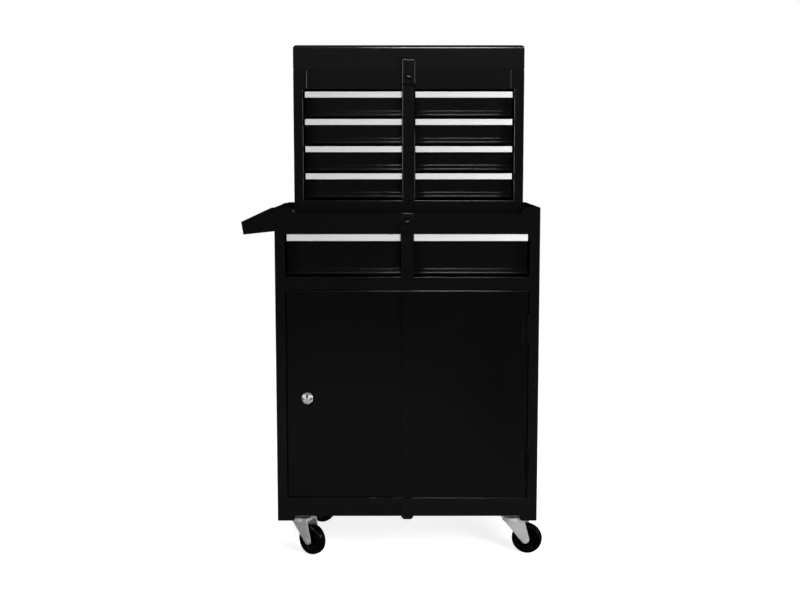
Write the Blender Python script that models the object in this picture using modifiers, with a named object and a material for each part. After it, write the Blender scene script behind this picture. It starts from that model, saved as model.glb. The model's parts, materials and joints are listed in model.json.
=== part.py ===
"""Rolling tool cabinet: an eight-drawer top chest standing on a wheeled cabinet.

Run with blender --background --python part.py, or from Blender's text editor.
Metres, +Z up. The floor is z = 0, the front faces -Y, and the origin is under the
middle of the whole object. Places inside the functions are counted from the middle of
the cabinet; one empty, cabinet_origin, carries everything to its place.
"""

from math import cos, pi, radians, sin

import bmesh
import bpy
from mathutils import Matrix, Vector

MM = 0.001

# Sheet steel and clearances
SHEET = 1.2 * MM
GAP = 0.3 * MM
RUN_GAP = 1.0 * MM
OVERRUN = 5 * MM
EDGE_ROUND = 0.5 * MM

# Cabinet
CABINET_WIDTH = 558 * MM
CABINET_DEPTH = 330 * MM
CABINET_TOP = 750.5 * MM
CORNER_BOTTOM = 76.5 * MM
FLOOR_HEIGHT = 87 * MM
SEAT_DROP = 13.5 * MM
RAIL_DROP = 11.5 * MM
NOTCH_FROM_SIDE = 29 * MM
NOTCH_SLANT = 14 * MM
CORNER_WIDTH = 37 * MM
CORNER_CHAMFER = 4 * MM
POST_WIDTH = 21.5 * MM
RETURN_DEPTH = 16 * MM

# Rails and the drawer opening, from the top down. The door opening is what they leave.
TOP_RAIL = 54.5 * MM
CABINET_DRAWER_HEIGHT = 91.5 * MM
MIDDLE_RAIL = 27 * MM
BOTTOM_RAIL = 40.5 * MM

# Door
DOOR_GAP = 1.5 * MM
DOOR_DEPTH = 18 * MM
FOLD_ROUND = 1.8 * MM
KNOB_FROM_EDGE = 43 * MM
KNOB_SHARE_UP = 0.483
HINGE_RADIUS = 4 * MM
HINGE_LEAF = 10 * MM
HINGE_PIN_RADIUS = 1.8 * MM
DOOR_HINGE_LENGTH = 54 * MM
DOOR_HINGE_SHARES_UP = (0.17, 0.816)

# Shelf
SHELF_SHARE_UP = 0.5
SHELF_LIP = 15 * MM
SHELF_SETBACK = 30 * MM
CLIP_WIDTH = 16 * MM
CLIP_HEIGHT = 14 * MM

# Top chest
CHEST_WIDTH = 482 * MM
CHEST_DEPTH = 262 * MM
CHEST_SETBACK = 20 * MM
CHEST_SHIFT = 3 * MM
CHEST_BODY_HEIGHT = 298 * MM
CHEST_BOTTOM_RAIL = 27.5 * MM
CHEST_HEAD_RAIL = 39 * MM
CHEST_POST = 20 * MM
RAISED_INSET = 11.5 * MM
RAISED_DEPTH = 1.5 * MM
TRAY_RIM_RISE = 6 * MM
TRAY_FLOOR_DROP = 34 * MM

# Lid
LID_HEIGHT = 51.5 * MM
LID_ROUND = 8 * MM
LID_CROWN = 10 * MM
LID_HINGE_RADIUS = 2.6 * MM
LID_HINGE_LEAF = 16 * MM
LID_HINGE_PIN_RADIUS = 1.1 * MM
LID_HINGE_LENGTH = 400 * MM

# Centre bars
BAR_WIDTH = 26 * MM
BAR_DEPTH = 6 * MM
LOCK_PLATE_DEPTH = 12 * MM
LOCK_PLATE_HEIGHT = 53 * MM
LOCK_PLATE_OVER_LID = 21 * MM
BAR_FOOT_DROP = 5.5 * MM
BAR_FOOT_REACH = 20 * MM
BAR_FOOT_CHAMFER = 5 * MM
BAR_TAB_REACH = 10 * MM

# Locks
LOCK_RADIUS = 6.5 * MM
LOCK_PROUD = 2 * MM
CABINET_LOCK_DROP = 19.5 * MM
CHEST_LOCK_DROP = 14.6 * MM
KEYWAY_WIDTH = 1.4 * MM
KEYWAY_LENGTH = 6 * MM
KNOB_RADIUS = 12.3 * MM
KNOB_PROUD = 12 * MM
KNOB_FLANGE = 2.5 * MM
CAM_WIDTH = 14 * MM
CAM_REACH = 46 * MM
CAM_THICKNESS = 2.5 * MM

# Drawers: the front is set back from the frame, steps out twice at its foot and carries a pull
FRONT_SETBACK = 7 * MM
STEP_OUT = 2.5 * MM
UPPER_STEP_HEIGHT = 14.5 * MM
LOWER_STEP_HEIGHT = 8.5 * MM
FRONT_CLEARANCE = 2 * MM
CHEST_TOP_GAP = 5.2 * MM
CABINET_TOP_GAP = 1.5 * MM
FRONT_SIDE_GAP = 4.5 * MM
BOX_SIDE_INSET = 3 * MM
BOX_TOP_DROP = 14 * MM
BOX_FLOOR_RISE = 4 * MM
BOX_BACK_GAP = 12 * MM
RUNNER_LIP = 7 * MM
RUNNER_HEIGHT = 14 * MM
CHEST_ROWS = 4

# Pulls
CHEST_PULL_HEIGHT = 12.3 * MM
CABINET_PULL_HEIGHT = 14 * MM
PULL_DEPTH = 9 * MM
PULL_WALL = 2 * MM

# Side tray
TRAY_WIDTH = 69.5 * MM
TRAY_LENGTH = 290 * MM
TRAY_INNER_HEIGHT = 50 * MM
TRAY_OUTER_HEIGHT = 27 * MM
TRAY_OUTER_DROP = 30 * MM
TRAY_LEDGE = 5 * MM

# Casters
WHEEL_RADIUS = 33 * MM
WHEEL_WIDTH = 22 * MM
HUB_WIDTH = 25 * MM
HUB_RADIUS = 9.5 * MM
WEB_THICKNESS = 9 * MM
RIM_DEPTH = 9 * MM
TREAD_ROUND = 6 * MM
AXLE_RADIUS = 3.5 * MM
AXLE_HEAD_RADIUS = 6 * MM
AXLE_HEAD = 3 * MM
CASTER_TRAIL = 32 * MM
CASTER_INSET_X = 49 * MM
CASTER_INSET_FRONT = 31 * MM
CASTER_INSET_REAR = 62 * MM
PLATE_LENGTH = 58 * MM
PLATE_WIDTH = 48 * MM
PLATE_THICKNESS = 2.5 * MM
RACE_RADIUS = 19 * MM
RACE_HEIGHT = 4 * MM
FORK_SHEET = 2.2 * MM
FORK_SIDE_GAP = 1 * MM
FORK_TOP_AHEAD = 18 * MM
FORK_TOP_BEHIND = 30 * MM
CROWN_RADIUS = 23 * MM
CROWN_DEPTH = 9 * MM
FORK_END_RADIUS = 9 * MM
KINGPIN_RADIUS = 5 * MM
KINGPIN_HEAD = 2.5 * MM
CASTER_HEADINGS = {
    "front_left": radians(-41),
    "front_right": radians(-20),
    "rear_left": radians(-28),
    "rear_right": radians(20),
}

# Facets
ROUND_STEPS = 28
SMALL_STEPS = 16

# Worked-out places
SIDE = CABINET_WIDTH / 2
FRONT = -CABINET_DEPTH / 2
BACK = CABINET_DEPTH / 2
SEAT_Z = CABINET_TOP - SEAT_DROP
RAIL_TOP = CABINET_TOP - RAIL_DROP
OPENING_SIDE = SIDE - POST_WIDTH
DRAWER_TOP = CABINET_TOP - TOP_RAIL
DRAWER_BOTTOM = DRAWER_TOP - CABINET_DRAWER_HEIGHT
DOOR_TOP = DRAWER_BOTTOM - MIDDLE_RAIL
DOOR_BOTTOM = FLOOR_HEIGHT + BOTTOM_RAIL
DOOR_OPENING_HEIGHT = DOOR_TOP - DOOR_BOTTOM
CHEST_SIDE = CHEST_WIDTH / 2
CHEST_FRONT = FRONT + CHEST_SETBACK
CHEST_BACK = CHEST_FRONT + CHEST_DEPTH
CHEST_BOTTOM = SEAT_Z + GAP
CHEST_BODY_TOP = CHEST_BOTTOM + CHEST_BODY_HEIGHT
CHEST_OPENING_BOTTOM = CHEST_BOTTOM + CHEST_BOTTOM_RAIL
CHEST_OPENING_TOP = CHEST_BODY_TOP - CHEST_HEAD_RAIL
CHEST_OPENING_HEIGHT = CHEST_OPENING_TOP - CHEST_OPENING_BOTTOM
CHEST_OPENING_SIDE = CHEST_SIDE - CHEST_POST
LID_BOTTOM = CHEST_BODY_TOP + GAP
TRAY_FLOOR = CHEST_BODY_TOP - TRAY_FLOOR_DROP
CASTER_X = SIDE - CASTER_INSET_X
CASTER_FRONT_Y = FRONT + CASTER_INSET_FRONT
CASTER_REAR_Y = BACK - CASTER_INSET_REAR
TREAD_SPAN = WHEEL_RADIUS - TREAD_ROUND
TREAD_HALF = WHEEL_WIDTH / 2 - TREAD_ROUND
LEFT_HEADING = CASTER_HEADINGS["front_left"]
RIGHT_HEADING = CASTER_HEADINGS["front_right"]
OBJECT_LEFT = -SIDE - GAP - TRAY_WIDTH
OBJECT_RIGHT = (
    CASTER_X
    + (CASTER_TRAIL + TREAD_SPAN) * cos(RIGHT_HEADING)
    - TREAD_HALF * sin(RIGHT_HEADING)
    + TREAD_ROUND
)
OBJECT_FRONT = (
    CASTER_FRONT_Y
    + (CASTER_TRAIL + TREAD_SPAN) * sin(LEFT_HEADING)
    - TREAD_HALF * cos(LEFT_HEADING)
    - TREAD_ROUND
)
ORIGIN_X = -(OBJECT_LEFT + OBJECT_RIGHT) / 2
ORIGIN_Y = -(OBJECT_FRONT + BACK) / 2

for old in list(bpy.data.objects):
    bpy.data.objects.remove(old, do_unlink=True)

PARTS = bpy.data.collections.new("rolling_tool_cabinet")
CUTTERS = bpy.data.collections.new("cutters")
bpy.context.scene.collection.children.link(PARTS)
bpy.context.scene.collection.children.link(CUTTERS)

# Outlines in (y, z) run along x, and outlines in (x, z) run along y
ALONG_X = (pi / 2, 0, pi / 2)
ALONG_Y = (pi / 2, 0, 0)


# Materials


def material(name, color, roughness, metallic):
    """A Principled material with the part's colour and finish."""
    made = bpy.data.materials.new(name)
    made.use_nodes = True
    shader = made.node_tree.nodes["Principled BSDF"]
    shader.inputs["Base Color"].default_value = (*color, 1)
    shader.inputs["Roughness"].default_value = roughness
    shader.inputs["Metallic"].default_value = metallic
    return made


BLACK_PAINT = material("black_paint", (0.010, 0.010, 0.011), 0.28, 0.0)
SATIN_ALUMINIUM = material("satin_aluminium", (0.78, 0.78, 0.80), 0.35, 1.0)
CHROME = material("chrome", (0.75, 0.75, 0.77), 0.12, 1.0)
ZINC = material("zinc_plate", (0.42, 0.43, 0.44), 0.38, 1.0)
WHEEL_PLASTIC = material("wheel_plastic", (0.012, 0.012, 0.012), 0.45, 0.0)


# Object helpers


def empty(name, location, parent=None, turn=0.0):
    """An axis or a frame that other pieces hang on."""
    made = bpy.data.objects.new(name, None)
    made.empty_display_size = WHEEL_RADIUS
    made.location = location
    made.rotation_euler = (0, 0, turn)
    made.parent = parent
    PARTS.objects.link(made)
    return made


ROOT = empty("cabinet_origin", (ORIGIN_X, ORIGIN_Y, 0))
CHEST_ROOT = empty("chest_origin", (CHEST_SHIFT, 0, 0), ROOT)


def add(name, data, finish=None, location=(0, 0, 0), rotation=(0, 0, 0), parent=None):
    """Put mesh or curve data in the model as a named part."""
    made = bpy.data.objects.new(name, data)
    made.location = location
    made.rotation_euler = rotation
    made.parent = parent or ROOT
    PARTS.objects.link(made)
    if finish and finish.name not in data.materials:
        data.materials.append(finish)
    return made


def to_cutters(piece):
    """Make a piece a guide that is neither rendered nor built."""
    PARTS.objects.unlink(piece)
    CUTTERS.objects.link(piece)
    piece.hide_render = True
    piece.display_type = "WIRE"
    return piece


def boolean(piece, other, operation):
    """Cut the other piece from this one, or join it to this one."""
    step = piece.modifiers.new(operation.lower(), "BOOLEAN")
    step.operation = operation
    step.solver = "EXACT"
    step.object = to_cutters(other)
    return piece


def solidify(piece, thickness=SHEET):
    """Give an open surface its sheet thickness, inwards."""
    step = piece.modifiers.new("sheet", "SOLIDIFY")
    step.thickness = thickness
    step.offset = -1
    step.use_even_offset = True
    return piece


def bevel(piece, width=EDGE_ROUND, segments=1, angle=radians(40)):
    """Round the edges that turn by more than the angle."""
    step = piece.modifiers.new("edges", "BEVEL")
    step.width = width
    step.segments = segments
    step.limit_method = "ANGLE"
    step.angle_limit = angle
    step.use_clamp_overlap = True
    return piece


def mesh_from(bm, name):
    """Finish a bmesh: outward normals, and round sides shaded smooth."""
    bmesh.ops.recalc_face_normals(bm, faces=bm.faces)
    mesh = bpy.data.meshes.new(name)
    bm.to_mesh(mesh)
    bm.free()
    return mesh


def shaded(mesh):
    """Shade the round stretches smooth and keep the corners sharp."""
    mesh.shade_smooth()
    mesh.set_sharp_from_angle(angle=radians(35))
    return mesh


def evaluated_mesh(piece):
    """The piece's mesh with its modifiers worked in, welded where a curve's caps are loose."""
    bpy.context.view_layer.update()
    seen = piece.evaluated_get(bpy.context.evaluated_depsgraph_get())
    mesh = bpy.data.meshes.new_from_object(seen)
    bm = bmesh.new()
    bm.from_mesh(mesh)
    bmesh.ops.remove_doubles(bm, verts=bm.verts, dist=GAP / 100)
    bm.to_mesh(mesh)
    bm.free()
    return shaded(mesh)


def baked(piece):
    """Work the piece's modifiers into its mesh, and drop the guides that they used."""
    piece.data = evaluated_mesh(piece)
    used = [step.object for step in piece.modifiers if step.type == "BOOLEAN"]
    piece.modifiers.clear()
    for guide in used:
        bpy.data.objects.remove(guide)
    return piece


def mesh_of(piece):
    """The finished mesh of a piece that was only made to give its shape."""
    mesh = baked(piece).data
    mesh.transform(piece.matrix_basis)
    bpy.data.objects.remove(piece)
    return mesh


# Shape helpers


def box_mesh(name, size):
    """A box about its own middle."""
    bm = bmesh.new()
    bmesh.ops.create_cube(bm, size=1.0)
    bmesh.ops.scale(bm, vec=size, verts=bm.verts)
    return mesh_from(bm, name)


def box(name, low, high, finish=None, parent=None):
    """A box between two corners."""
    low = Vector(low)
    high = Vector(high)
    return add(name, box_mesh(name, high - low), finish, (low + high) / 2, parent=parent)


def open_box(name, low, high, open_faces, finish, parent=None, thickness=SHEET, folds=0):
    """A sheet box between two corners, open on the faces that are named by their direction.

    Its folds can be given a radius.
    """
    low = Vector(low)
    high = Vector(high)
    bm = bmesh.new()
    bmesh.ops.create_cube(bm, size=1.0)
    bmesh.ops.scale(bm, vec=high - low, verts=bm.verts)
    bm.normal_update()
    ways = [Vector(way) for way in open_faces]
    gone = [face for face in bm.faces if any(face.normal.dot(way) > cos(pi / 4) for way in ways)]
    bmesh.ops.delete(bm, geom=gone, context="FACES_ONLY")
    if folds:
        edges = [edge for edge in bm.edges if not edge.is_boundary]
        bmesh.ops.bevel(
            bm, geom=edges, offset=folds, offset_type="OFFSET", segments=3, profile=0.5,
            affect="EDGES",
        )
    mesh = bpy.data.meshes.new(name)
    bm.to_mesh(mesh)
    bm.free()
    if folds:
        shaded(mesh)
    return solidify(add(name, mesh, finish, (low + high) / 2, parent=parent), thickness)


def prism(name, outline, length, rotation, finish, location=(0, 0, 0), open_sides=(), parent=None):
    """An outline drawn out along its length. Its open sides are left off, and it is then sheet."""
    bm = bmesh.new()
    ends = []
    for z in (-length / 2, length / 2):
        ends.append([bm.verts.new((a, b, z)) for a, b in outline])
    bm.faces.new(ends[0])
    bm.faces.new(ends[1])
    count = len(outline)
    for n in range(count):
        m = (n + 1) % count
        bm.faces.new((ends[0][n], ends[0][m], ends[1][m], ends[1][n]))
    bmesh.ops.recalc_face_normals(bm, faces=bm.faces)
    bm.faces.ensure_lookup_table()
    gone = [bm.faces[2 + n] for n in open_sides]
    if gone:
        bmesh.ops.delete(bm, geom=gone, context="FACES_ONLY")
    mesh = bpy.data.meshes.new(name)
    bm.to_mesh(mesh)
    bm.free()
    made = add(name, mesh, finish, location, rotation, parent)
    return solidify(made) if open_sides else made


def folded_sheet(name, points, length, finish, location=(0, 0, 0), parent=None, thickness=SHEET):
    """A sheet folded along a line of (y, z) points and drawn out along x."""
    bm = bmesh.new()
    rows = []
    for x in (-length / 2, length / 2):
        rows.append([bm.verts.new((x, y, z)) for y, z in points])
    for n in range(len(points) - 1):
        bm.faces.new((rows[0][n], rows[1][n], rows[1][n + 1], rows[0][n + 1]))
    mesh = bpy.data.meshes.new(name)
    bm.to_mesh(mesh)
    bm.free()
    return solidify(add(name, mesh, finish, location, parent=parent), thickness)


def flat_plate(name, outlines, thickness, rotation, finish, location=(0, 0, 0), parent=None):
    """A flat plate from closed outlines, the first one outside and the others holes."""
    curve = bpy.data.curves.new(name, "CURVE")
    curve.dimensions = "2D"
    curve.fill_mode = "BOTH"
    curve.extrude = thickness / 2
    curve.resolution_u = 1
    for outline in outlines:
        spline = curve.splines.new("POLY")
        spline.points.add(len(outline) - 1)
        for point, (a, b) in zip(spline.points, outline):
            point.co = (a, b, 0, 1)
        spline.use_cyclic_u = True
    made = add(name, curve, finish, location, rotation, parent)
    mesh = evaluated_mesh(made)
    bpy.data.objects.remove(made)
    return add(name, mesh, finish, location, rotation, parent)


def cylinder_mesh(name, radius, length, steps=ROUND_STEPS):
    """A cylinder about its own middle, along z."""
    bm = bmesh.new()
    bmesh.ops.create_cone(
        bm, cap_ends=True, segments=steps, radius1=radius, radius2=radius, depth=length
    )
    return shaded(mesh_from(bm, name))


def cylinder(name, radius, start, end, finish=None, parent=None, steps=ROUND_STEPS):
    """A cylinder from one point to another."""
    start = Vector(start)
    end = Vector(end)
    along = end - start
    turn = along.to_track_quat("Z", "Y").to_euler()
    mesh = cylinder_mesh(name, radius, along.length, steps)
    return add(name, mesh, finish, (start + end) / 2, turn, parent)


def turned(name, profile, finish, location=(0, 0, 0), rotation=(0, 0, 0), parent=None,
           steps=ROUND_STEPS):
    """A turned shape about z, from (radius, height) points that run down its outer side."""
    bm = bmesh.new()
    points = [bm.verts.new((radius, 0, height)) for radius, height in profile]
    for one, other in zip(points, points[1:]):
        bm.edges.new((one, other))
    mesh = bpy.data.meshes.new(name)
    bm.to_mesh(mesh)
    bm.free()
    made = add(name, mesh, finish, location, rotation, parent)
    step = made.modifiers.new("turn", "SCREW")
    step.steps = steps
    step.render_steps = steps
    step.use_merge_vertices = True
    step.merge_threshold = GAP / 100
    return baked(made)


def arc(centre, radius, start, end, steps):
    """Points of an arc about a centre, from one angle to another."""
    turns = [start + (end - start) * n / steps for n in range(steps + 1)]
    return [(centre[0] + radius * cos(t), centre[1] + radius * sin(t)) for t in turns]


def rectangle(left, right, bottom, top):
    """The four corners of a rectangle."""
    return [(left, bottom), (right, bottom), (right, top), (left, top)]


# Hinges


def hinge_half(name, radius, pin_radius, leaf, length, knuckles, side, finish, location,
               rotation, parent):
    """One leaf of a butt hinge with its knuckles.

    The pin runs along local z. The leaf lies behind the barrel at local +y and reaches to
    the side that is given as 1 or -1. knuckles are (from, to) shares of the length, and the
    leaf whose knuckles start at the end carries the pin.
    """
    start = radius + RUN_GAP / 2
    low = Vector((min(side * start, side * (start + leaf)), radius - SHEET, -length / 2))
    high = Vector((max(side * start, side * (start + leaf)), radius, length / 2))
    made = add(name, box_mesh(name, high - low), finish)
    made.data.transform(Matrix.Translation((low + high) / 2))
    made.location = location
    made.rotation_euler = rotation
    made.parent = parent
    frame = {"location": location, "rotation": rotation, "parent": parent}
    for n, (share_from, share_to) in enumerate(knuckles):
        bottom = -length / 2 + length * share_from + (RUN_GAP / 4 if share_from > 0 else 0)
        top = -length / 2 + length * share_to - (RUN_GAP / 4 if share_to < 1 else 0)
        barrel = cylinder_mesh(f"{name}_barrel_{n}", radius, top - bottom, SMALL_STEPS)
        barrel.transform(Matrix.Translation((0, 0, (top + bottom) / 2)))
        boolean(made, add(f"{name}_barrel_{n}", barrel, **frame), "UNION")
        neck = box_mesh(f"{name}_neck_{n}", (start + SHEET, SHEET, top - bottom))
        middle = (side * (start + SHEET) / 2, radius - SHEET / 2, (top + bottom) / 2)
        neck.transform(Matrix.Translation(middle))
        boolean(made, add(f"{name}_neck_{n}", neck, **frame), "UNION")
    if knuckles[0][0] == 0:
        core, how = cylinder_mesh(f"{name}_pin", pin_radius, length, SMALL_STEPS), "UNION"
    else:
        core = cylinder_mesh(f"{name}_bore", pin_radius + GAP, length + OVERRUN, SMALL_STEPS)
        how = "DIFFERENCE"
    boolean(made, add(f"{name}_core", core, **frame), how)
    return baked(made)


# Cabinet


def front_frame(name, outline, openings, plane, finish, parent):
    """A sheet front with flanged openings: each opening's edges turn in behind the face."""
    frame = flat_plate(
        name, [outline, *openings], SHEET, ALONG_Y, finish, (0, plane + SHEET / 2, 0), parent
    )
    for n, corners in enumerate(openings):
        left, bottom = corners[0]
        right, top = corners[2]
        sleeve = open_box(
            f"{name}_return_{n}",
            (left - SHEET, plane + SHEET / 2, bottom - SHEET),
            (right + SHEET, plane + RETURN_DEPTH, top + SHEET),
            [(0, -1, 0), (0, 1, 0)],
            finish,
            parent,
        )
        boolean(frame, sleeve, "UNION")
    return frame


def make_cabinet_body():
    """Wrapped shell, flanged front, seat for the chest, floor and shelf."""
    inside = SIDE - SHEET
    shell = open_box(
        "cabinet_shell",
        (-SIDE, FRONT + SHEET + GAP, CORNER_BOTTOM),
        (SIDE, BACK, CABINET_TOP),
        [(0, -1, 0), (0, 0, 1), (0, 0, -1)],
        BLACK_PAINT,
    )
    notch = SIDE - NOTCH_FROM_SIDE
    corner = SIDE - CORNER_WIDTH + CORNER_CHAMFER
    outline = [
        (-SIDE, CORNER_BOTTOM),
        (-corner, CORNER_BOTTOM),
        (-corner + CORNER_CHAMFER, CORNER_BOTTOM + CORNER_CHAMFER),
        (-corner + CORNER_CHAMFER, FLOOR_HEIGHT),
        (corner - CORNER_CHAMFER, FLOOR_HEIGHT),
        (corner - CORNER_CHAMFER, CORNER_BOTTOM + CORNER_CHAMFER),
        (corner, CORNER_BOTTOM),
        (SIDE, CORNER_BOTTOM),
        (SIDE, CABINET_TOP),
        (notch, CABINET_TOP),
        (notch - NOTCH_SLANT, RAIL_TOP),
        (-notch + NOTCH_SLANT, RAIL_TOP),
        (-notch, CABINET_TOP),
        (-SIDE, CABINET_TOP),
    ]
    openings = [
        rectangle(-OPENING_SIDE, OPENING_SIDE, DRAWER_BOTTOM, DRAWER_TOP),
        rectangle(-OPENING_SIDE, OPENING_SIDE, DOOR_BOTTOM, DOOR_TOP),
    ]
    frame = front_frame("cabinet_front_frame", outline, openings, FRONT, BLACK_PAINT, ROOT)
    lock_hole(frame, "cabinet_lock_hole", (0, FRONT, cabinet_lock_height()), ROOT)
    box(
        "chest_seat",
        (-inside + GAP, FRONT + SHEET + GAP, SEAT_Z - SHEET),
        (inside - GAP, BACK - SHEET - GAP, SEAT_Z),
        BLACK_PAINT,
    )
    box(
        "cabinet_floor",
        (-inside + GAP, FRONT + SHEET + GAP, FLOOR_HEIGHT),
        (inside - GAP, BACK - SHEET - GAP, FLOOR_HEIGHT + SHEET),
        BLACK_PAINT,
    )
    shelf_top = DOOR_BOTTOM + DOOR_OPENING_HEIGHT * SHELF_SHARE_UP
    open_box(
        "cabinet_shelf",
        (-inside + RUN_GAP, FRONT + SHELF_SETBACK, shelf_top - SHELF_LIP),
        (inside - RUN_GAP, BACK - SHEET - GAP, shelf_top),
        [(0, 0, -1)],
        BLACK_PAINT,
    )
    top = shelf_top - SHELF_LIP - GAP
    wall = SIDE - SHEET / 2
    for side in (-1, 1):
        for y in (FRONT + 2 * SHELF_SETBACK, BACK - 2 * SHELF_SETBACK):
            fold = [(side * wall, top - CLIP_HEIGHT), (side * wall, top)]
            fold += [(side * (wall - CLIP_WIDTH), top)]
            clip = folded_sheet("shelf_clip", fold, CLIP_WIDTH, BLACK_PAINT, (0, y, 0))
            clip.rotation_euler = (0, 0, -pi / 2)
            clip.modifiers[0].offset = side
            boolean(shell, clip, "UNION")
    return shell


def lock_hole(piece, name, centre, parent):
    """A hole along y for a lock barrel."""
    x, y, z = centre
    hole = cylinder(
        name, LOCK_RADIUS + GAP, (x, y - OVERRUN, z), (x, y + OVERRUN, z), parent=parent,
        steps=SMALL_STEPS,
    )
    boolean(piece, hole, "DIFFERENCE")


def cabinet_lock_height():
    """Between the top of the rail and the cabinet's drawers."""
    return RAIL_TOP - CABINET_LOCK_DROP


def chest_lock_height():
    """Between the lid and the chest's drawers."""
    return CHEST_BODY_TOP - CHEST_LOCK_DROP


# Centre bars and their locks


def make_cabinet_bar():
    """The bar in three lengths: on the frame, on the door and round the foot of the frame."""
    back = FRONT - GAP
    face = back - BAR_DEPTH
    bar = prism(
        "cabinet_centre_bar",
        rectangle(face, back, DOOR_TOP + GAP, RAIL_TOP),
        BAR_WIDTH,
        ALONG_X,
        BLACK_PAINT,
        open_sides=(1,),
    )
    bevel(bar)
    lock_hole(bar, "cabinet_bar_hole", (0, face, cabinet_lock_height()), ROOT)
    strip = prism(
        "door_centre_strip",
        rectangle(face, back, DOOR_BOTTOM + DOOR_GAP, DOOR_TOP - DOOR_GAP),
        BAR_WIDTH,
        ALONG_X,
        BLACK_PAINT,
        open_sides=(1,),
    )
    bevel(strip)
    under = FLOOR_HEIGHT - BAR_FOOT_DROP
    foot = prism(
        "centre_bar_foot",
        [
            (face, under),
            (back + BAR_FOOT_REACH, under),
            (back + BAR_FOOT_REACH, FLOOR_HEIGHT - GAP),
            (back, FLOOR_HEIGHT - GAP),
            (back, DOOR_BOTTOM - GAP),
            (face, DOOR_BOTTOM - GAP),
        ],
        BAR_WIDTH,
        ALONG_X,
        BLACK_PAINT,
    )
    cut = BAR_FOOT_CHAMFER
    for side in (-1, 1):
        edge = side * BAR_WIDTH / 2
        corner = [
            (edge - side * cut, under - cut),
            (edge + side * cut, under - cut),
            (edge + side * cut, under + cut),
            (edge, under + cut),
            (edge - side * cut, under),
        ]
        middle = (face + back + BAR_FOOT_REACH) / 2
        wedge = prism(
            f"bar_foot_corner_{side}", corner, (BAR_DEPTH + BAR_FOOT_REACH) * 2, ALONG_Y, None,
            (0, middle, 0),
        )
        boolean(foot, wedge, "DIFFERENCE")
    make_lock("cabinet_lock", (0, face, cabinet_lock_height()), ROOT)


def make_chest_bar():
    """The bar between the drawer columns, stepped out at its head to pass in front of the lid.

    A tab at its foot rests on the turned-in edge of the bottom rail.
    """
    back = CHEST_FRONT - GAP
    face = back - BAR_DEPTH
    plate = back - LOCK_PLATE_DEPTH
    head = LID_BOTTOM + LOCK_PLATE_OVER_LID
    foot = CHEST_OPENING_BOTTOM + GAP
    bar = prism(
        "chest_centre_bar",
        [
            (back, foot),
            (face, foot),
            (face, head - LOCK_PLATE_HEIGHT),
            (plate, head - LOCK_PLATE_HEIGHT + BAR_DEPTH / 2),
            (plate, head),
            (back, head),
        ],
        BAR_WIDTH,
        ALONG_X,
        BLACK_PAINT,
        open_sides=(5,),
        parent=CHEST_ROOT,
    )
    bevel(bar)
    tab = box(
        "chest_bar_tab",
        (-BAR_WIDTH / 2 + SHEET * 2, face + SHEET / 2, foot + GAP),
        (BAR_WIDTH / 2 - SHEET * 2, back + BAR_TAB_REACH, foot + GAP + SHEET),
        BLACK_PAINT,
        CHEST_ROOT,
    )
    boolean(bar, tab, "UNION")
    lock_hole(bar, "chest_bar_hole", (0, plate, chest_lock_height()), CHEST_ROOT)
    make_lock("chest_lock", (0, plate, chest_lock_height()), CHEST_ROOT)


def make_lock(name, face_point, parent):
    """A lock barrel with its keyway. It turns about its own axis, along y."""
    x, y, z = face_point
    body = LOCK_RADIUS
    lip = EDGE_ROUND
    profile = [
        (0, LOCK_PROUD),
        (body - lip, LOCK_PROUD),
        (body, LOCK_PROUD - lip),
        (body, -SHEET - LOCK_PROUD),
        (body / 2, -SHEET - LOCK_PROUD),
        (body / 2, -BAR_DEPTH + GAP),
        (0, -BAR_DEPTH + GAP),
    ]
    lock = turned(name, profile, CHROME, (x, y, z), (pi / 2, 0, 0), parent, SMALL_STEPS)
    keyway = box_mesh(name + "_keyway", (KEYWAY_WIDTH, KEYWAY_LENGTH, LOCK_PROUD * 2))
    slot = add(name + "_keyway", keyway, None, (x, y - LOCK_PROUD, z), (pi / 2, 0, 0), parent)
    boolean(lock, slot, "DIFFERENCE")


# Door


def make_door():
    """A pan door with its lock, cam, strip and two butt hinges."""
    right = OPENING_SIDE - DOOR_GAP
    low = DOOR_BOTTOM + DOOR_GAP
    high = DOOR_TOP - DOOR_GAP
    door = open_box(
        "door", (-right, FRONT, low), (right, FRONT + DOOR_DEPTH, high), [(0, 1, 0)], BLACK_PAINT,
        folds=FOLD_ROUND,
    )
    axis_x = OPENING_SIDE - DOOR_GAP / 2
    axis_y = FRONT - GAP - HINGE_RADIUS
    empty("door_axis", (axis_x, axis_y, low), ROOT)
    knob_x = -right + KNOB_FROM_EDGE
    knob_z = low + (high - low) * KNOB_SHARE_UP
    hole = cylinder(
        "door_lock_hole",
        LOCK_RADIUS + GAP,
        (knob_x, FRONT - OVERRUN, knob_z),
        (knob_x, FRONT + OVERRUN, knob_z),
        steps=SMALL_STEPS,
    )
    boolean(door, hole, "DIFFERENCE")
    make_door_lock(knob_x, knob_z)
    for share, where in zip(DOOR_HINGE_SHARES_UP, ("lower", "upper")):
        middle = (axis_x, axis_y, low + (high - low) * share)
        common = (HINGE_RADIUS, HINGE_PIN_RADIUS, HINGE_LEAF, DOOR_HINGE_LENGTH)
        outer = [(0, 1 / 3), (2 / 3, 1)]
        inner = [(1 / 3, 2 / 3)]
        place = (BLACK_PAINT, middle, (0, 0, 0), ROOT)
        hinge_half(f"{where}_hinge_frame_leaf", *common, outer, 1, *place)
        hinge_half(f"{where}_hinge_door_leaf", *common, inner, -1, *place)


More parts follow.
